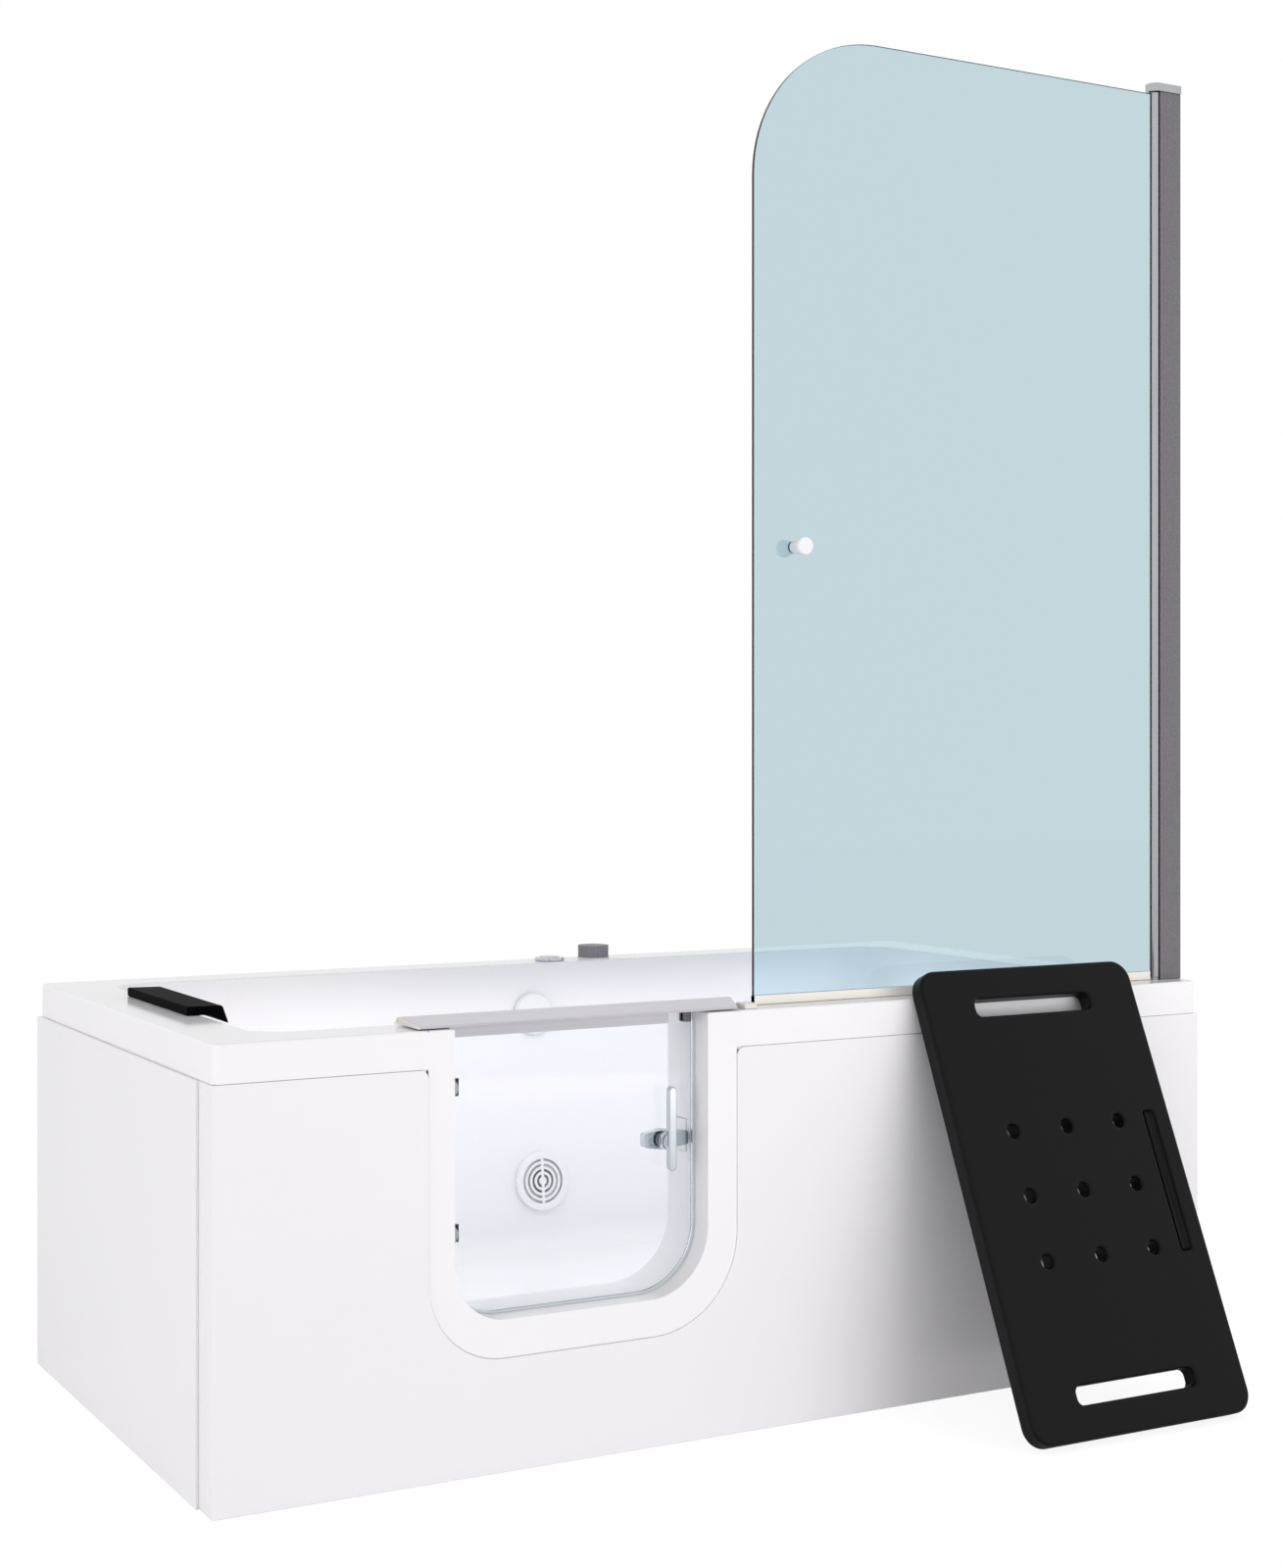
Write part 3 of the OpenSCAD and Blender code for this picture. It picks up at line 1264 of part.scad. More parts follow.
module seat_board() {
    mid = seat_l / 2;
    groove_x = 156;
    groove_l = 205;
    groove_w = 18;
    color([0.13, 0.13, 0.14]) translate([seat_x, seat_foot_y, 0]) rotate([90 - seat_lean, 0, 0]) difference() {
        linear_extrude(seat_t) difference() {
            round_rect(-seat_w / 2, seat_w / 2, 0, seat_l, seat_r);
            for (s = [slot_end, seat_l - slot_end])
                round_rect(-slot_l / 2, slot_l / 2, s - slot_w / 2, s + slot_w / 2, 10);
            for (i = [-1:1], k = [-1:1])
                translate([i * seat_hole_dx, mid + k * seat_hole_dy]) circle(seat_hole_r);
        }
        translate([0, 0, seat_t - 5]) linear_extrude(6)
            round_rect(groove_x - groove_w / 2, groove_x + groove_w / 2, mid - groove_l / 2,
                mid + groove_l / 2, 4);
    }
}

tub_shell();
door_surround();
door_frame();
front_panel();
end_panels();
base_board();
long_rails();
cross_rails();
rim_uprights();
foot_stems();
foot_pads();
foot_nuts();
support_brackets();
door_gasket();
hinge_brackets();
hinge_pins();
bracket_screws();
strike_plate();
plate_stop();
headrest_pillow();
suction_cover();
suction_body();
suction_pipe();
pump_housing();
pump_motor();
pressure_pipe();
jet_bodies();
jet_nozzles();
overflow_cover();
overflow_body();
overflow_pipe();
waste_body();
waste_trap();
bowden_cable();
knob_housing();
button_bezel();
button_housing();
air_tube();
screen_wall_profile();
profile_end_caps();
door_glass();
top_plate();
plate_end_cap();
clamp_rail();
clamp_screws();
hinge_leaves();
hinge_caps();
latch_rose();
corner_buffer();
lever_handle();
latch_spindle();
latch_bar();
screen_glass();
pivot_bar();
screen_seal();
screen_knobs();
control_knob();
push_button();
waste_plug();
seat_board();
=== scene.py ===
import math
import bpy
import bmesh
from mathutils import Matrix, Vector
from mathutils.bvhtree import BVHTree


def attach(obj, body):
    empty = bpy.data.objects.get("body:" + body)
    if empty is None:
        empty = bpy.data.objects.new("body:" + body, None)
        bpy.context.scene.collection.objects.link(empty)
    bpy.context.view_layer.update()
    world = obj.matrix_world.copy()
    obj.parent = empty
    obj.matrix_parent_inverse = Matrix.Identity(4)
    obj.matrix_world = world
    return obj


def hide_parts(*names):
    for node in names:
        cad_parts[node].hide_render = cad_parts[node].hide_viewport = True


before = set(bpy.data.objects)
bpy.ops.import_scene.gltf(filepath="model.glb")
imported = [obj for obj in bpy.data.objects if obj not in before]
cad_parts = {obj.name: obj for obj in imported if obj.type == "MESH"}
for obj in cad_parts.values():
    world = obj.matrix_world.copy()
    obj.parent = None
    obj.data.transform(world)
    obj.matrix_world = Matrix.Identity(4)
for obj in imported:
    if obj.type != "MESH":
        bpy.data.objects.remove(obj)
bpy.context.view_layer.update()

# The view: a level camera in front of the door, turned towards the screen.
# A long lens keeps the uprights of the tub and the screen parallel.
frame_width, frame_height, film_width = 1308, 1600, 36
focal_length, axis_column, horizon_row = 2316.7, 574.7, 755.6
view = bpy.data.objects.new("front_view", bpy.data.cameras.new("front_view"))
bpy.context.scene.collection.objects.link(view)
view.location = (-1.7200, -3.0656, 0.9585)
view.rotation_euler = (math.radians(90), 0, math.radians(-27.82))
view.data.sensor_fit = "AUTO"
view.data.sensor_width = film_width
view.data.lens = focal_length / frame_height * film_width
view.data.shift_x = (frame_width / 2 - axis_column) / frame_height
view.data.shift_y = (horizon_row - frame_height / 2) / frame_height
view.data.clip_start = 0.05
view.data.clip_end = 60
bpy.context.scene.camera = view


# Tub shell: one vacuum-formed sheet of white acrylic, backed with resin, with a
# rolled rim, a doorway lining and a raised flange around the doorway. The press
# leaves every edge soft, and the gloss wavers slightly over the broad faces.
def paint(red, green, blue):
    """A colour as a paint chart gives it, from 0 to 255, for a shader's socket."""
    chart = [c / 255 for c in (red, green, blue)]
    return tuple(c / 12.92 if c < 0.04045 else ((c + 0.055) / 1.055) ** 2.4 for c in chart) + (1,)


def new_group(name, takes, gives):
    """An empty node group with the inputs it takes and the outputs it gives."""
    tree = bpy.data.node_groups.new(name, "ShaderNodeTree")
    for label, kind, value in takes:
        socket = tree.interface.new_socket(name=label, in_out="INPUT", socket_type=kind)
        if value is not None:
            socket.default_value = value
    for label, kind in gives:
        tree.interface.new_socket(name=label, in_out="OUTPUT", socket_type=kind)
    return tree, tree.nodes.new("NodeGroupInput"), tree.nodes.new("NodeGroupOutput")


def sum_of(tree, kind, first, second, third=0.0):
    """One arithmetic node, with each input a number or the socket that feeds it."""
    node = tree.nodes.new("ShaderNodeMath")
    node.operation = kind
    for socket, value in zip(node.inputs, (first, second, third)):
        if isinstance(value, (int, float)):
            socket.default_value = value
        else:
            tree.links.new(value, socket)
    return node.outputs[0]


def blend_of(tree, share, first, second):
    """The first colour going over into the second as share rises from 0 to 1."""
    node = tree.nodes.new("ShaderNodeMix")
    node.data_type = "RGBA"
    tree.links.new(share, node.inputs[0])
    tree.links.new(first, node.inputs[6])
    tree.links.new(second, node.inputs[7])
    return node.outputs[2]


def noise_of(tree, place, scale, detail, roughness=0.5):
    """A cloudy pattern of the given fineness, from 0 to 1."""
    node = tree.nodes.new("ShaderNodeTexNoise")
    node.inputs["Detail"].default_value = detail
    node.inputs["Roughness"].default_value = roughness
    tree.links.new(place, node.inputs["Vector"])
    if isinstance(scale, (int, float)):
        node.inputs["Scale"].default_value = scale
    else:
        tree.links.new(scale, node.inputs["Scale"])
    return node.outputs["Fac"]


def make_skin():
    """Broad unevenness of colour and gloss, with a fine grain over it."""
    tree, source, result = new_group("uneven_skin", [
        ("Place", "NodeSocketVector", None), ("Colour", "NodeSocketColor", (1, 1, 1, 1)),
        ("Second colour", "NodeSocketColor", (1, 1, 1, 1)), ("Share", "NodeSocketFloat", 0.5),
        ("Patch scale", "NodeSocketFloat", 9.0), ("Grain scale", "NodeSocketFloat", 400.0),
        ("Rough", "NodeSocketFloat", 0.3), ("Rough spread", "NodeSocketFloat", 0.1),
    ], [("Colour", "NodeSocketColor"), ("Roughness", "NodeSocketFloat"), ("Height", "NodeSocketFloat")])
    patch = noise_of(tree, source.outputs["Place"], source.outputs["Patch scale"], 4, 0.6)
    grain = noise_of(tree, source.outputs["Place"], source.outputs["Grain scale"], 2)
    share = sum_of(tree, "MULTIPLY", patch, source.outputs["Share"])
    tree.links.new(blend_of(tree, share, source.outputs["Colour"], source.outputs["Second colour"]),
                   result.inputs["Colour"])
    both = sum_of(tree, "ADD", patch, sum_of(tree, "MULTIPLY", grain, 0.5))
    level = sum_of(tree, "SUBTRACT", both, 0.75)
    rough = sum_of(tree, "MULTIPLY_ADD", level, source.outputs["Rough spread"], source.outputs["Rough"])
    tree.links.new(rough, result.inputs["Roughness"])
    tree.links.new(grain, result.inputs["Height"])
    return tree


def make_drops():
    """Dried drops and wipe marks, as a mask that only dulls or raises the surface a little."""
    tree, source, result = new_group("dried_drops", [
        ("Place", "NodeSocketVector", None), ("Scale", "NodeSocketFloat", 60.0),
        ("Amount", "NodeSocketFloat", 0.05),
    ], [("Mask", "NodeSocketFloat")])
    cells = tree.nodes.new("ShaderNodeTexVoronoi")
    tree.links.new(source.outputs["Place"], cells.inputs["Vector"])
    tree.links.new(source.outputs["Scale"], cells.inputs["Scale"])
    where = noise_of(tree, source.outputs["Place"], 3.0, 3)
    ring_radius, ring_width, bare_share = 0.16, 0.05, 0.55
    from_ring = sum_of(tree, "ABSOLUTE", sum_of(tree, "SUBTRACT", cells.outputs["Distance"], ring_radius), 0)
    ring = sum_of(tree, "LESS_THAN", from_ring, ring_width)
    kept = sum_of(tree, "MULTIPLY", ring, sum_of(tree, "GREATER_THAN", where, bare_share))
    tree.links.new(sum_of(tree, "MULTIPLY", kept, source.outputs["Amount"]), result.inputs["Mask"])
    return tree


skin = make_skin()
dried_drops = make_drops()


def shade(name, colour, second, rough, spread=0.06, share=0.6, patch=7.0, grain=350.0, relief=0.02,
          metal=0.0, drops=0.0, stretch=None, shine=0.5):
    """A finish: its two colours, its gloss, its grain (relief in mm) and its share of dried drops."""
    material = bpy.data.materials.new(name)
    material.use_nodes = True
    tree = material.node_tree
    surface = tree.nodes["Principled BSDF"]
    place = tree.nodes.new("ShaderNodeTexCoord").outputs["Object"]
    if stretch:
        turn = tree.nodes.new("ShaderNodeMapping")
        turn.inputs["Scale"].default_value = stretch
        tree.links.new(place, turn.inputs["Vector"])
        place = turn.outputs["Vector"]
    group = tree.nodes.new("ShaderNodeGroup")
    group.node_tree = skin
    tree.links.new(place, group.inputs["Place"])
    for label, value in (("Colour", colour), ("Second colour", second), ("Share", share),
                         ("Patch scale", patch), ("Grain scale", grain), ("Rough", rough),
                         ("Rough spread", spread)):
        group.inputs[label].default_value = value
    surface.inputs["Roughness"].default_value = rough
    roughness = group.outputs["Roughness"]
    if drops:
        marks = tree.nodes.new("ShaderNodeGroup")
        marks.node_tree = dried_drops
        marks.inputs["Amount"].default_value = drops
        tree.links.new(place, marks.inputs["Place"])
        roughness = sum_of(tree, "ADD", roughness, marks.outputs["Mask"])
    if spread or drops:
        tree.links.new(roughness, surface.inputs["Roughness"])
    tree.links.new(group.outputs["Colour"], surface.inputs["Base Color"])
    bump = tree.nodes.new("ShaderNodeBump")
    bump.inputs["Strength"].default_value = 1.0
    bump.inputs["Distance"].default_value = relief / 1000
    tree.links.new(group.outputs["Height"], bump.inputs["Height"])
    tree.links.new(bump.outputs["Normal"], surface.inputs["Normal"])
    surface.inputs["Metallic"].default_value = metal
    surface.inputs["Specular IOR Level"].default_value = shine
    return material


def melted(node, whole=True):
    """A copy of a CAD node's mesh with its loose triangles joined.

    Its flat faces are made whole too, unless the piece has one that runs all round a hole.
    """
    same_point, same_plane = 2e-6, math.radians(0.3)
    bm = bmesh.new()
    bm.from_mesh(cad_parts[node].data)
    bmesh.ops.remove_doubles(bm, verts=bm.verts, dist=same_point)
    if whole:
        bmesh.ops.dissolve_limit(bm, angle_limit=same_plane, verts=bm.verts, edges=bm.edges,
                                 use_dissolve_boundaries=False)
    return bm


def soften(bm, width, segments=3, pick=None, clamp=False):
    """Rounds the hard edges that pick accepts, by a radius of width, and marks the rounding's faces."""
    hard_angle = math.radians(28)
    rounding = bm.faces.layers.int.new("rounding")
    hard = [e for e in bm.edges if len(e.link_faces) == 2 and e.calc_face_angle(0) > hard_angle
            and (pick is None or pick(e))]
    made = bmesh.ops.bevel(bm, geom=hard, offset=width, offset_type="OFFSET", affect="EDGES",
                           segments=segments, profile=0.5, material=-1, clamp_overlap=clamp)
    for face in made["faces"]:
        face[rounding] = 1
    return bm


def even_normals(mesh):
    """Keeps the broad faces plain right up to their roundings, which run from the one to the other."""
    same_side = 0.8
    rounding = [mark.value for mark in mesh.attributes["rounding"].data]
    around = {}
    for face in mesh.polygons:
        for corner in face.vertices:
            around.setdefault(corner, []).append(face)
    normals = []
    for face in mesh.polygons:
        for corner in face.vertices:
            near = [one for one in around[corner] if not rounding[one.index]] or around[corner]
            lead = face.normal
            if rounding[face.index]:
                lead = max(near, key=lambda one: one.normal.dot(face.normal)).normal
            total = sum((one.normal * one.area for one in near if one.normal.dot(lead) > same_side), Vector())
            normals.append(total.normalized() if total.length > 0 else lead)
    mesh.normals_split_custom_set(normals)


def mounted(bm, name, body, finish, stands_for):
    """Makes the piece's object, smooths it and fixes it to its body in place of its CAD nodes."""
    mesh = bpy.data.meshes.new(name)
    bm.to_mesh(mesh)
    bm.free()
    piece = bpy.data.objects.new(name, mesh)
    bpy.context.scene.collection.objects.link(piece)
    for one in (finish if isinstance(finish, list) else [finish]):
        mesh.materials.append(one)
    mesh.shade_smooth()
    even_normals(mesh)
    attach(piece, body)
    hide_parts(*stands_for)
    return piece


def dress(finish, *nodes):
    """Gives CAD nodes that stay in the scene their finish."""
    for node in nodes:
        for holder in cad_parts[node].material_slots:
            holder.material = finish


acrylic = shade("white_acrylic", paint(245, 243, 246), paint(240, 238, 241), 0.12, spread=0.05, share=0.5,
                patch=3.0, grain=140.0, relief=0.03, drops=0.06, shine=0.22)
press_radius = 0.0035
front_face, skirt_foot, sill_top, hidden_below = -0.400, 0.535, 0.200, 0.16
door_left, door_right = -0.472, -0.0885
skirt_back_x, skirt_back_y = 0.795, 0.395
back_fittings_y, rim_underside = 0.27, 0.57
slack, shortest_edge, seam_width = 0.001, 0.0008, 0.0001


def pressed(node, neighbour, name):
    """One half of the moulding, soft at its free edges and plain where it runs on into the other."""
    bm = melted(node, False)
    beyond = melted(neighbour, False)
    joint = BVHTree.FromBMesh(beyond)
    beyond.free()

    def free_edge(edge):
        middle = (edge.verts[0].co + edge.verts[1].co) / 2
        behind_wall = middle.y > back_fittings_y and middle.z < rim_underside
        in_doorway = door_left - slack < middle.x < door_right + slack and middle.z > sill_top - slack
        on_front = middle.y < front_face + slack
        on_skirt = abs(middle.x) > skirt_back_x or abs(middle.y) > skirt_back_y
        beside_panel = middle.z < skirt_foot + slack and (on_front and not in_doorway or on_skirt)
        return (edge.is_convex and not behind_wall and not beside_panel and middle.z > hidden_below
                and edge.calc_length() > shortest_edge and joint.find_nearest(middle)[3] > seam_width)

    mounted(soften(bm, press_radius, 3, free_edge), name, "tub", acrylic, [node])


pressed("tub_shell", "door_surround", "tub_moulding")
pressed("door_surround", "tub_shell", "doorway_moulding")

# Welded carcass under the tub: square steel tubes with a zinc coat, a steel frame
# around the doorway, and five screwed feet with rubber pads.
galvanised = shade("galvanised_tube", paint(168, 172, 176), paint(128, 134, 140), 0.42, spread=0.25,
                   share=0.9, patch=55.0, grain=260.0, relief=0.05, metal=0.85)
zinc = shade("zinc_plate", paint(196, 196, 188), paint(158, 160, 158), 0.3, spread=0.18, patch=30.0,
             grain=700.0, metal=0.9)
foot_rubber = shade("foot_rubber", paint(38, 38, 40), paint(58, 58, 60), 0.75, spread=0.15, patch=40.0,
                    grain=900.0, relief=0.1)
dress(galvanised, "door_frame", "long_rails", "cross_rails", "rim_uprights")
dress(zinc, "foot_stems", "foot_nuts", "support_brackets")
mounted(soften(melted("foot_pads"), 0.0015), "rubber_feet", "tub", foot_rubber, ["foot_pads"])

# Base board: a chipboard plate laid into the resin under the basin's floor, which
# spreads the bather's weight over the rails.
chipboard = shade("sealed_chipboard", paint(196, 164, 118), paint(140, 104, 64), 0.7, spread=0.2, share=1.0,
                  patch=160.0, grain=900.0, relief=0.2, stretch=(1, 1.6, 3))
dress(chipboard, "base_board")

# Waste and overflow: a chromed brass barrel under a white plug cover, a moulded trap,
# the overflow with its cap and pipe, and the housing of the knob that lifts the plug.
chrome = shade("polished_chrome", paint(206, 210, 216), paint(188, 192, 200), 0.09, spread=0.08, patch=12.0,
               grain=600.0, metal=1.0, drops=0.1)
pipe_plastic = shade("pipe_plastic", paint(226, 226, 222), paint(206, 206, 200), 0.38, spread=0.1,
                     patch=18.0, grain=300.0, relief=0.04)
white_plastic = shade("white_plastic", paint(244, 244, 246), paint(232, 232, 236), 0.22, spread=0.08,
                      patch=22.0, grain=500.0, drops=0.06)
dress(pipe_plastic, "overflow_body", "overflow_pipe", "waste_trap", "knob_housing")
mounted(soften(melted("waste_body"), 0.0006), "waste_barrel", "tub", chrome, ["waste_body"])
mounted(soften(melted("waste_plug"), 0.0012), "plug_cap", "plug", white_plastic,
        ["waste_plug"])
mounted(soften(melted("overflow_cover", False), 0.001), "overflow_cap", "tub", white_plastic,
        ["overflow_cover"])

# Massage set: suction grille and elbow, pump with its motor, pressure pipe with four
# jets, and the air button on the rim with its tube to the pump's switch.
pump_black = shade("pump_casting", paint(44, 46, 50), paint(70, 72, 76), 0.5, spread=0.2, patch=26.0,
                   grain=420.0, relief=0.12)
motor_paint = shade("motor_enamel", paint(72, 78, 86), paint(52, 56, 62), 0.4, spread=0.15, patch=30.0,
                    grain=380.0, relief=0.1)
dress(pipe_plastic, "suction_body", "suction_pipe", "pressure_pipe", "jet_bodies", "button_housing")
dress(pump_black, "pump_housing")
mounted(soften(melted("pump_motor"), 0.001), "finned_motor", "tub", motor_paint,
        ["pump_motor"])
mounted(soften(melted("suction_cover"), 0.0007, 2), "slotted_grille", "tub", white_plastic,
        ["suction_cover"])
mounted(soften(melted("jet_nozzles"), 0.001), "jet_rings", "tub", white_plastic,
        ["jet_nozzles"])
mounted(soften(melted("button_bezel"), 0.0015), "button_ring", "tub", chrome, ["button_bezel"])
button_pale = shade("button_plastic", paint(226, 222, 222), paint(212, 206, 206), 0.25, spread=0.08,
                    patch=40.0, grain=600.0)
mounted(soften(melted("push_button"), 0.0025, 4, lambda e: e.is_convex), "button_cap", "button", button_pale,
        ["push_button"])


# Cables: the sheathed pull cable from the rim knob's housing down the back of the
# basin to the waste, and the clear air tube from the rim button to the pump's switch.
def rounded_route(points, times=2):
    """Points along a route with its corners cut off, as a cable that is pushed round them takes them."""
    points = [Vector(p) for p in points]
    for _ in range(times):
        cut = [points[0]]
        for a, b in zip(points, points[1:]):
            cut += [a * 0.75 + b * 0.25, a * 0.25 + b * 0.75]
        points = cut + [points[-1]]
    return points


def laid_cable(name, points, radius, finish, node):
    """A cable along its rounded route, with both ends on the tub."""
    run = rounded_route(points)
    data = bpy.data.curves.new(name, "CURVE")
    data.dimensions = "3D"
    data.bevel_depth = radius
    data.bevel_resolution = 4
    data.use_fill_caps = True
    spline = data.splines.new("POLY")
    spline.points.add(len(run) - 1)
    for point, place in zip(spline.points, run):
        point.co = (*place, 1)
    data.materials.append(finish)
    cable = bpy.data.objects.new(name, data)
    bpy.context.scene.collection.objects.link(cable)
    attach(cable, "tub")
    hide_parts(node)


cable_black = shade("cable_sheath", paint(36, 36, 38), paint(54, 54, 56), 0.5, spread=0.12, patch=30.0,
                    grain=900.0, relief=0.06)
laid_cable("pull_cable", [
    (0.143, 0.355, 0.535), (0.143, 0.355, 0.500), (0.144, 0.352, 0.4385), (0.146, 0.348, 0.295),
    (0.152, 0.346, 0.1597), (0.158, 0.338, 0.090), (0.162, 0.310, 0.061), (0.177, 0.100, 0.060),
    (0.177, 0.040, 0.060), (0.173, 0.012, 0.060), (0.163, 0.001, 0.060), (0.147, 0.000, 0.060),
    (0.141, 0.000, 0.060)], 0.003, cable_black, "bowden_cable")
tube_clear = shade("air_tube_plastic", paint(206, 218, 226), paint(186, 204, 216), 0.3, spread=0.08,
                   patch=30.0, grain=500.0)
laid_cable("button_air_tube", [
    (0.060, 0.358, 0.537), (0.060, 0.358, 0.520), (0.040, 0.366, 0.496), (0.000, 0.380, 0.484),
    (-0.060, 0.384, 0.478), (-0.200, 0.384, 0.476), (-0.400, 0.384, 0.476), (-0.560, 0.382, 0.474),
    (-0.620, 0.372, 0.462), (-0.640, 0.352, 0.430), (-0.719, 0.345, 0.3600), (-0.719, 0.345, 0.3040),
    (-0.719, 0.345, 0.2920)], 0.0035, tube_clear, "air_tube")

# Rim knob: a ribbed grey knob of moulded plastic. Turned a quarter, it pulls the
# cable that lifts the plug of the waste.
knob_grey = shade("knob_rubber", paint(134, 131, 136), paint(112, 110, 114), 0.45, spread=0.12, patch=40.0,
                  grain=700.0, relief=0.05)
mounted(soften(melted("control_knob"), 0.0008, 2, clamp=True), "ribbed_knob", "knob", knob_grey,
        ["control_knob"])

# Panels: a long front panel and two end panels of sheet, lacquered a slightly duller
# white than the tub and set under its skirt with a fine gap all round.
lacquer = shade("panel_lacquer", paint(241, 239, 242), paint(235, 233, 237), 0.26, spread=0.0, share=0.5,
                patch=2.5, grain=60.0, relief=0.01, shine=0.3)
for node, name in (("front_panel", "front_skirt"), ("end_panels", "end_skirts")):
    mounted(soften(melted(node), 0.0012), name, "tub", lacquer, [node])

# Headrest: a pad of black foam with crisp folds, set over the rim at the bather's
# head. Its mesh is divided across at cut_places.
pad_black = shade("pad_skin", paint(7, 6, 7), paint(11, 10, 11), 0.55, spread=0.1, patch=16.0,
                  grain=500.0, relief=0.06, shine=0.01)
pad = melted("headrest_pillow")
cut_places = (-0.085, -0.04, 0.0, 0.027, 0.054, 0.094, 0.139)
for cut in cut_places:
    bmesh.ops.bisect_plane(pad, geom=pad.verts[:] + pad.edges[:] + pad.faces[:], plane_co=(0, cut, 0),
                           plane_no=(0, 1, 0), dist=1e-5)
soften(pad, 0.0028, 3)
pad_piece = mounted(pad, "rim_headrest", "tub", pad_black, ["headrest_pillow"])

# Doorway fittings: a soft lip seal around the opening, the hinge brackets on the jamb
# with their pins and screws, the flush strike plate and the stop for the top plate.
seal_grey = shade("seal_rubber", paint(214, 220, 224), paint(196, 204, 210), 0.4, spread=0.1, patch=30.0,
                  grain=700.0, relief=0.04)
satin_steel = shade("satin_steel", paint(186, 188, 192), paint(164, 167, 172), 0.3, spread=0.12, patch=20.0,
                    grain=500.0, metal=1.0)
cream = shade("cream_plastic", paint(232, 228, 222), paint(218, 212, 204), 0.35, spread=0.1, patch=40.0,
              grain=600.0)
mounted(soften(melted("door_gasket"), 0.0009), "lip_seal", "tub", seal_grey, ["door_gasket"])
mounted(soften(melted("hinge_brackets", False), 0.0006, 2), "jamb_hinges", "tub", satin_steel,
        ["hinge_brackets"])
dress(satin_steel, "hinge_pins", "bracket_screws")
mounted(soften(melted("strike_plate"), 0.0008), "latch_keep", "tub", white_plastic,
        ["strike_plate"])
mounted(soften(melted("plate_stop"), 0.0015), "plate_rest", "tub", cream, ["plate_stop"])


# Door: a pane of clear toughened glass with ground edges, hung on two hinges and
# stiffened at the top by a steel plate that closes the gap in the rim.
def pane(name, tint, edge_tint):
    """Sheet glass: clear through its faces, and deeper in colour at its ground edges."""
    polished, ground = 0.02, 0.18
    made = []
    for part, colour, gloss in (("face", tint, polished), ("edge", edge_tint, ground)):
        material = bpy.data.materials.new(name + "_" + part)
        material.use_nodes = True
        tree = material.node_tree
        surface = tree.nodes["Principled BSDF"]
        surface.inputs["Transmission Weight"].default_value = 1.0
        surface.inputs["IOR"].default_value = 1.45
        place = tree.nodes.new("ShaderNodeTexCoord").outputs["Object"]
        group = tree.nodes.new("ShaderNodeGroup")
        group.node_tree = skin
        tree.links.new(place, group.inputs["Place"])
        for label, value in (("Patch scale", 4.0), ("Grain scale", 80.0), ("Rough", gloss),
                             ("Rough spread", 0.02)):
            group.inputs[label].default_value = value
        marks = tree.nodes.new("ShaderNodeGroup")
        marks.node_tree = dried_drops
        marks.inputs["Amount"].default_value = 0.05
        tree.links.new(place, marks.inputs["Place"])
        tree.links.new(sum_of(tree, "ADD", group.outputs["Roughness"], marks.outputs["Mask"]),
                       surface.inputs["Roughness"])
        surface.inputs["Base Color"].default_value = colour
        clear = tree.nodes.new("ShaderNodeBsdfTransparent")
        clear.inputs["Color"].default_value = colour
        path = tree.nodes.new("ShaderNodeLightPath")
        mix = tree.nodes.new("ShaderNodeMixShader")
        tree.links.new(path.outputs["Is Shadow Ray"], mix.inputs[0])
        tree.links.new(surface.outputs[0], mix.inputs[1])
        tree.links.new(clear.outputs[0], mix.inputs[2])
        tree.links.new(mix.outputs[0], tree.nodes["Material Output"].inputs["Surface"])
        made.append(material)
    return made


def glazed(node, name, body, finishes):
    """A pane whose edges are ground: the faces keep the first finish, the edges take the second."""
    arris, straight_on = 0.0007, 0.99
    bm = soften(melted(node), arris, 1)
    for face in bm.faces:
        face.material_index = 0 if abs(face.normal.y) > straight_on else 1
    mounted(bm, name, body, finishes, [node])


glazed("door_glass", "door_pane", "door", pane("clear_glass", paint(250, 254, 255), paint(200, 228, 232)))
brushed = shade("brushed_plate", paint(206, 204, 210), paint(186, 184, 190), 0.34, spread=0.18, share=0.8,
                patch=4.0, grain=60.0, relief=0.02, metal=0.9, stretch=(1, 60, 60))
mounted(soften(melted("top_plate"), 0.0008, 2), "rim_plate", "door", brushed, ["top_plate"])
mounted(soften(melted("plate_end_cap"), 0.001, 2), "rim_plate_end", "door", cream,
        ["plate_end_cap"])
mounted(soften(melted("clamp_rail"), 0.0008, 2), "glass_clamp", "door", brushed,
        ["clamp_rail"])
dress(satin_steel, "clamp_screws")
hinge_grey = shade("hinge_nickel", paint(176, 180, 182), paint(150, 154, 156), 0.28, spread=0.1, patch=30.0,
                   grain=700.0, metal=0.9)
mounted(soften(melted("hinge_leaves"), 0.0006, 2), "glass_hinges", "door", satin_steel,
        ["hinge_leaves"])
mounted(soften(melted("hinge_caps"), 0.0012, 3), "hinge_covers", "door", hinge_grey, ["hinge_caps"])
buffer_black = shade("buffer_rubber", paint(112, 112, 118), paint(92, 92, 98), 0.6, spread=0.12, patch=40.0,
                     grain=900.0, relief=0.06)
mounted(soften(melted("corner_buffer"), 0.0012), "glass_buffer", "door", buffer_black,
        ["corner_buffer"])

# Latch: a chrome lever on the outside of the glass, its rose, the spindle through it
# and the bar inside, which turns across the flush strike plate.
mounted(soften(melted("latch_rose"), 0.0008, 2), "lever_rose", "door", chrome, ["latch_rose"])
mounted(soften(melted("lever_handle"), 0.0022, 4), "door_lever", "latch", chrome, ["lever_handle"])
dress(satin_steel, "latch_spindle")
mounted(soften(melted("latch_bar"), 0.0012, 3), "inner_bar", "latch", chrome, ["latch_bar"])

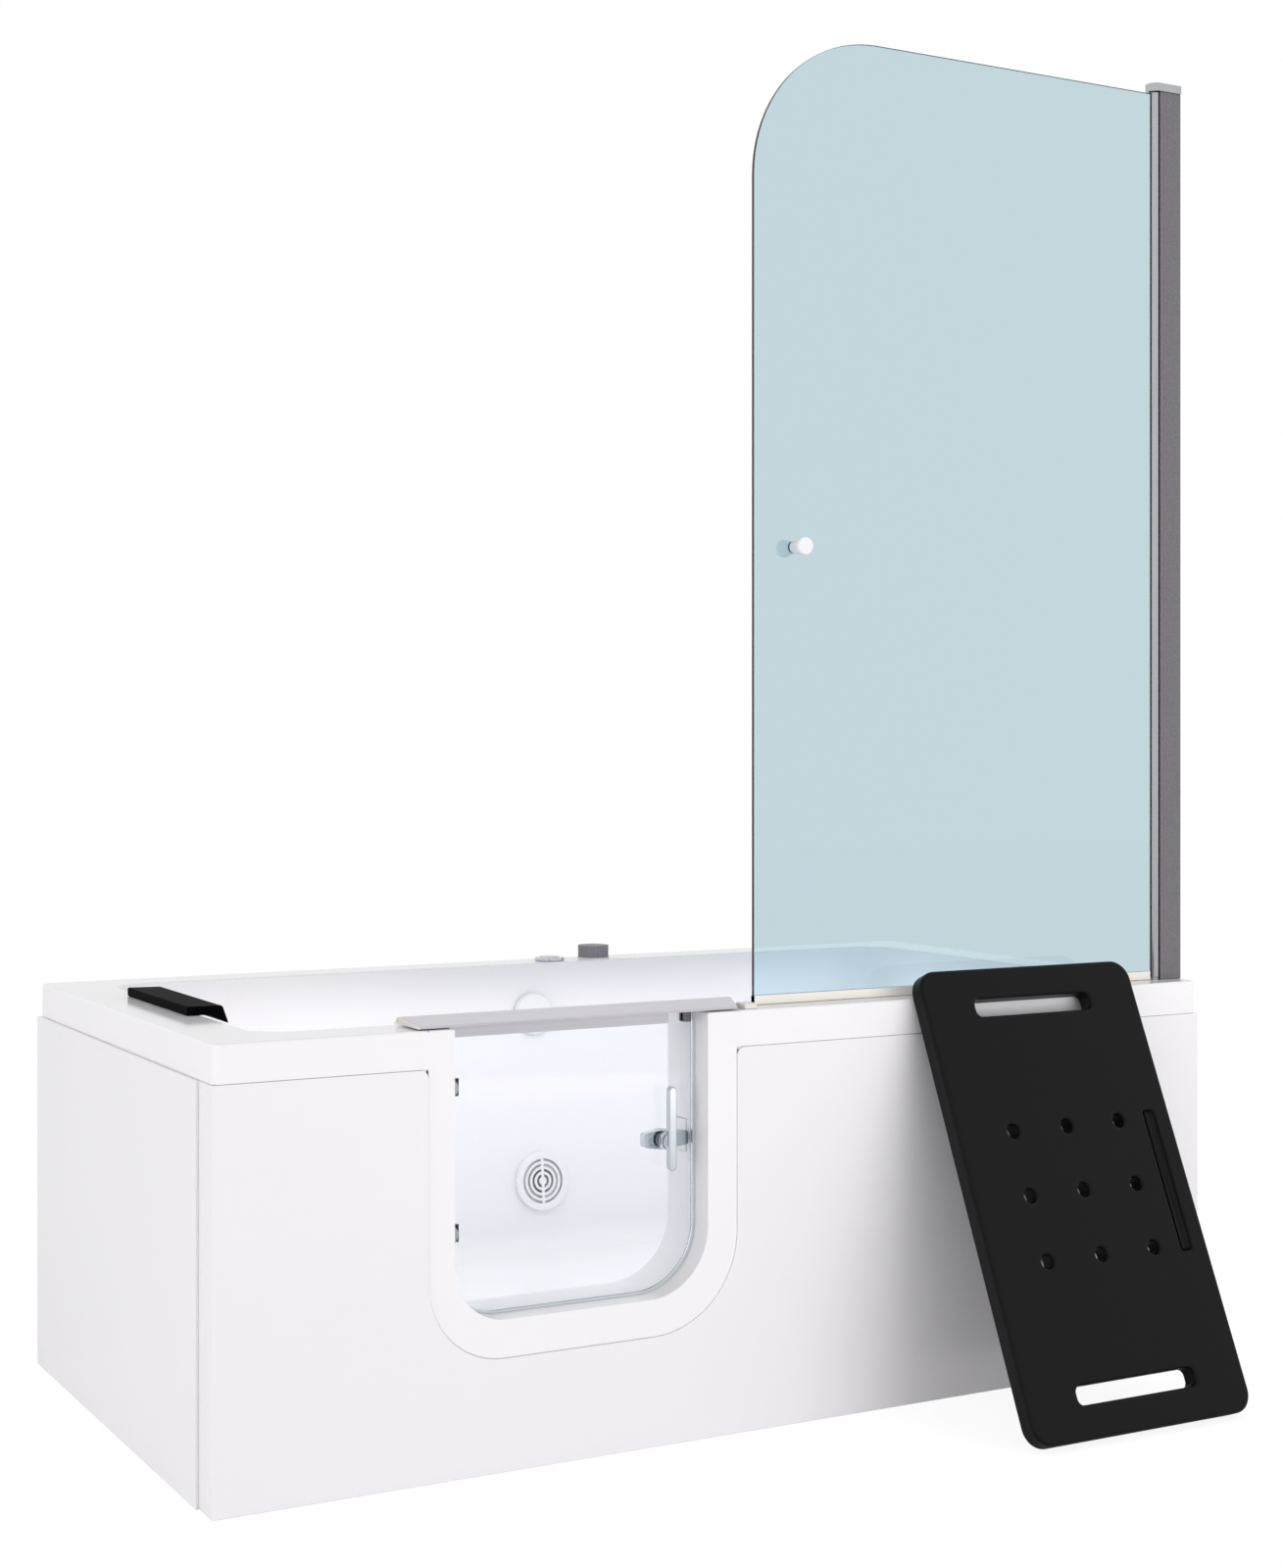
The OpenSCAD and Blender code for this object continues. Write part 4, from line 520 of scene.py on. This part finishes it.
# Screen: a tall pane of tinted glass with one round corner, glued into a polished
# pivot bar that turns in the wall profile, with a seal along its foot and a knob.
satin_profile = shade("satin_profile", paint(140, 138, 141), paint(92, 90, 94), 0.45, spread=0.2,
                      share=1.0, patch=420.0, grain=900.0, relief=0.06, metal=0.55)
bright_bar = shade("polished_bar", paint(186, 184, 188), paint(164, 162, 166), 0.2, spread=0.08,
                   patch=14.0, grain=300.0, metal=0.9, stretch=(20, 20, 1))
seal_beige = shade("seal_beige", paint(250, 245, 238), paint(240, 233, 223), 0.42, spread=0.1, patch=30.0,
                   grain=600.0)
mounted(soften(melted("screen_wall_profile"), 0.0005, 2), "wall_channel", "tub", satin_profile,
        ["screen_wall_profile"])
mounted(soften(melted("profile_end_caps"), 0.0008, 2, lambda e: e.is_convex), "channel_caps", "tub",
        satin_steel, ["profile_end_caps"])
mounted(soften(melted("pivot_bar"), 0.0004, 2), "pivot_tube", "screen", bright_bar,
        ["pivot_bar"])
glazed("screen_glass", "screen_pane", "screen",
       pane("tinted_glass", paint(217, 241, 248), paint(120, 168, 180)))
mounted(soften(melted("screen_seal"), 0.0012, 3), "foot_seal", "screen", seal_beige,
        ["screen_seal"])
mounted(soften(melted("screen_knobs"), 0.0008, 2), "pull_knobs", "screen", white_plastic,
        ["screen_knobs"])

# Seat board: a thick moulded board in matt black, with soft edges, two hand slots,
# nine drain holes and a narrow tray along one side.
board_black = shade("board_plastic", paint(15, 15, 16), paint(10, 10, 11), 0.34, spread=0.1, share=0.6,
                    patch=10.0, grain=420.0, relief=0.08, shine=0.12)
board_radius, facet = 0.005, 0.0004
mounted(soften(melted("seat_board"), board_radius, 4, lambda e: e.calc_length() > facet), "bath_board",
        "board", board_black, ["seat_board"])

# Room: a pale floor that runs out of sight, a white surround and four soft lamps. Both
# look plain white to the camera, while the object gets only the ambient strength.
ambient, surround_extra, floor_extra, glowing_share = 0.76, 0.24, 0.34, 0.8
floor_reach = 14
floor_bm = bmesh.new()
bmesh.ops.create_grid(floor_bm, x_segments=1, y_segments=1, size=floor_reach)
floor_mesh = bpy.data.meshes.new("room_floor")
floor_bm.to_mesh(floor_mesh)
floor_bm.free()
room_floor = bpy.data.objects.new("room_floor", floor_mesh)
bpy.context.scene.collection.objects.link(room_floor)
floor_white = bpy.data.materials.new("floor_white")
floor_white.use_nodes = True
tree = floor_white.node_tree
surface = tree.nodes["Principled BSDF"]
surface.inputs["Base Color"].default_value = paint(250, 250, 250)
surface.inputs["Roughness"].default_value = 0.9
lamp = tree.nodes.new("ShaderNodeEmission")
path = tree.nodes.new("ShaderNodeLightPath")
mix = tree.nodes.new("ShaderNodeMixShader")
tree.links.new(sum_of(tree, "MULTIPLY_ADD", path.outputs["Is Camera Ray"], floor_extra, ambient),
               lamp.inputs["Strength"])
share = sum_of(tree, "MAXIMUM", sum_of(tree, "MULTIPLY", path.outputs["Is Camera Ray"], glowing_share),
               path.outputs["Is Transmission Ray"])
tree.links.new(share, mix.inputs[0])
tree.links.new(surface.outputs[0], mix.inputs[1])
tree.links.new(lamp.outputs[0], mix.inputs[2])
tree.links.new(mix.outputs[0], tree.nodes["Material Output"].inputs["Surface"])
floor_mesh.materials.append(floor_white)

surround = bpy.data.worlds.new("white_surround")
bpy.context.scene.world = surround
surround.use_nodes = True
tree = surround.node_tree
backdrop = tree.nodes["Background"]
backdrop.inputs["Color"].default_value = (1, 1, 1, 1)
path = tree.nodes.new("ShaderNodeLightPath")
mirrored = sum_of(tree, "SUBTRACT", path.outputs["Is Glossy Ray"], path.outputs["Is Transmission Ray"])
seen = sum_of(tree, "MAXIMUM", path.outputs["Is Camera Ray"], mirrored)
tree.links.new(sum_of(tree, "MULTIPLY_ADD", seen, surround_extra, ambient), backdrop.inputs["Strength"])

for name, place, aim, wide, deep, power in (
        ("window_left", (-4.2, -1.2, 0.9), (0, 0, 0.5), 2.4, 1.8, 30),
        ("low_fill", (0.4, -4.2, 0.5), (0.3, 0, 0.3), 2.0, 1.0, 8.5),
        ("front_fill", (1.3, -3.3, 0.7), (0.6, -0.2, 0.35), 2.0, 1.4, 22),
        ("basin_fill", (0.0, 0.0, 0.575), (0, 0, 0), 1.3, 0.5, 1.75)):
    lamp_data = bpy.data.lights.new(name, "AREA")
    lamp_data.shape = "RECTANGLE"
    lamp_data.size = wide
    lamp_data.size_y = deep
    lamp_data.energy = power
    lamp_object = bpy.data.objects.new(name, lamp_data)
    bpy.context.scene.collection.objects.link(lamp_object)
    lamp_object.location = place
    lamp_object.visible_camera = False
    lamp_object.visible_glossy = False
    lamp_object.visible_transmission = False
    lamp_object.rotation_euler = (Vector(aim) - Vector(place)).to_track_quat("-Z", "Y").to_euler()

bpy.context.scene.view_settings.view_transform = "Standard"
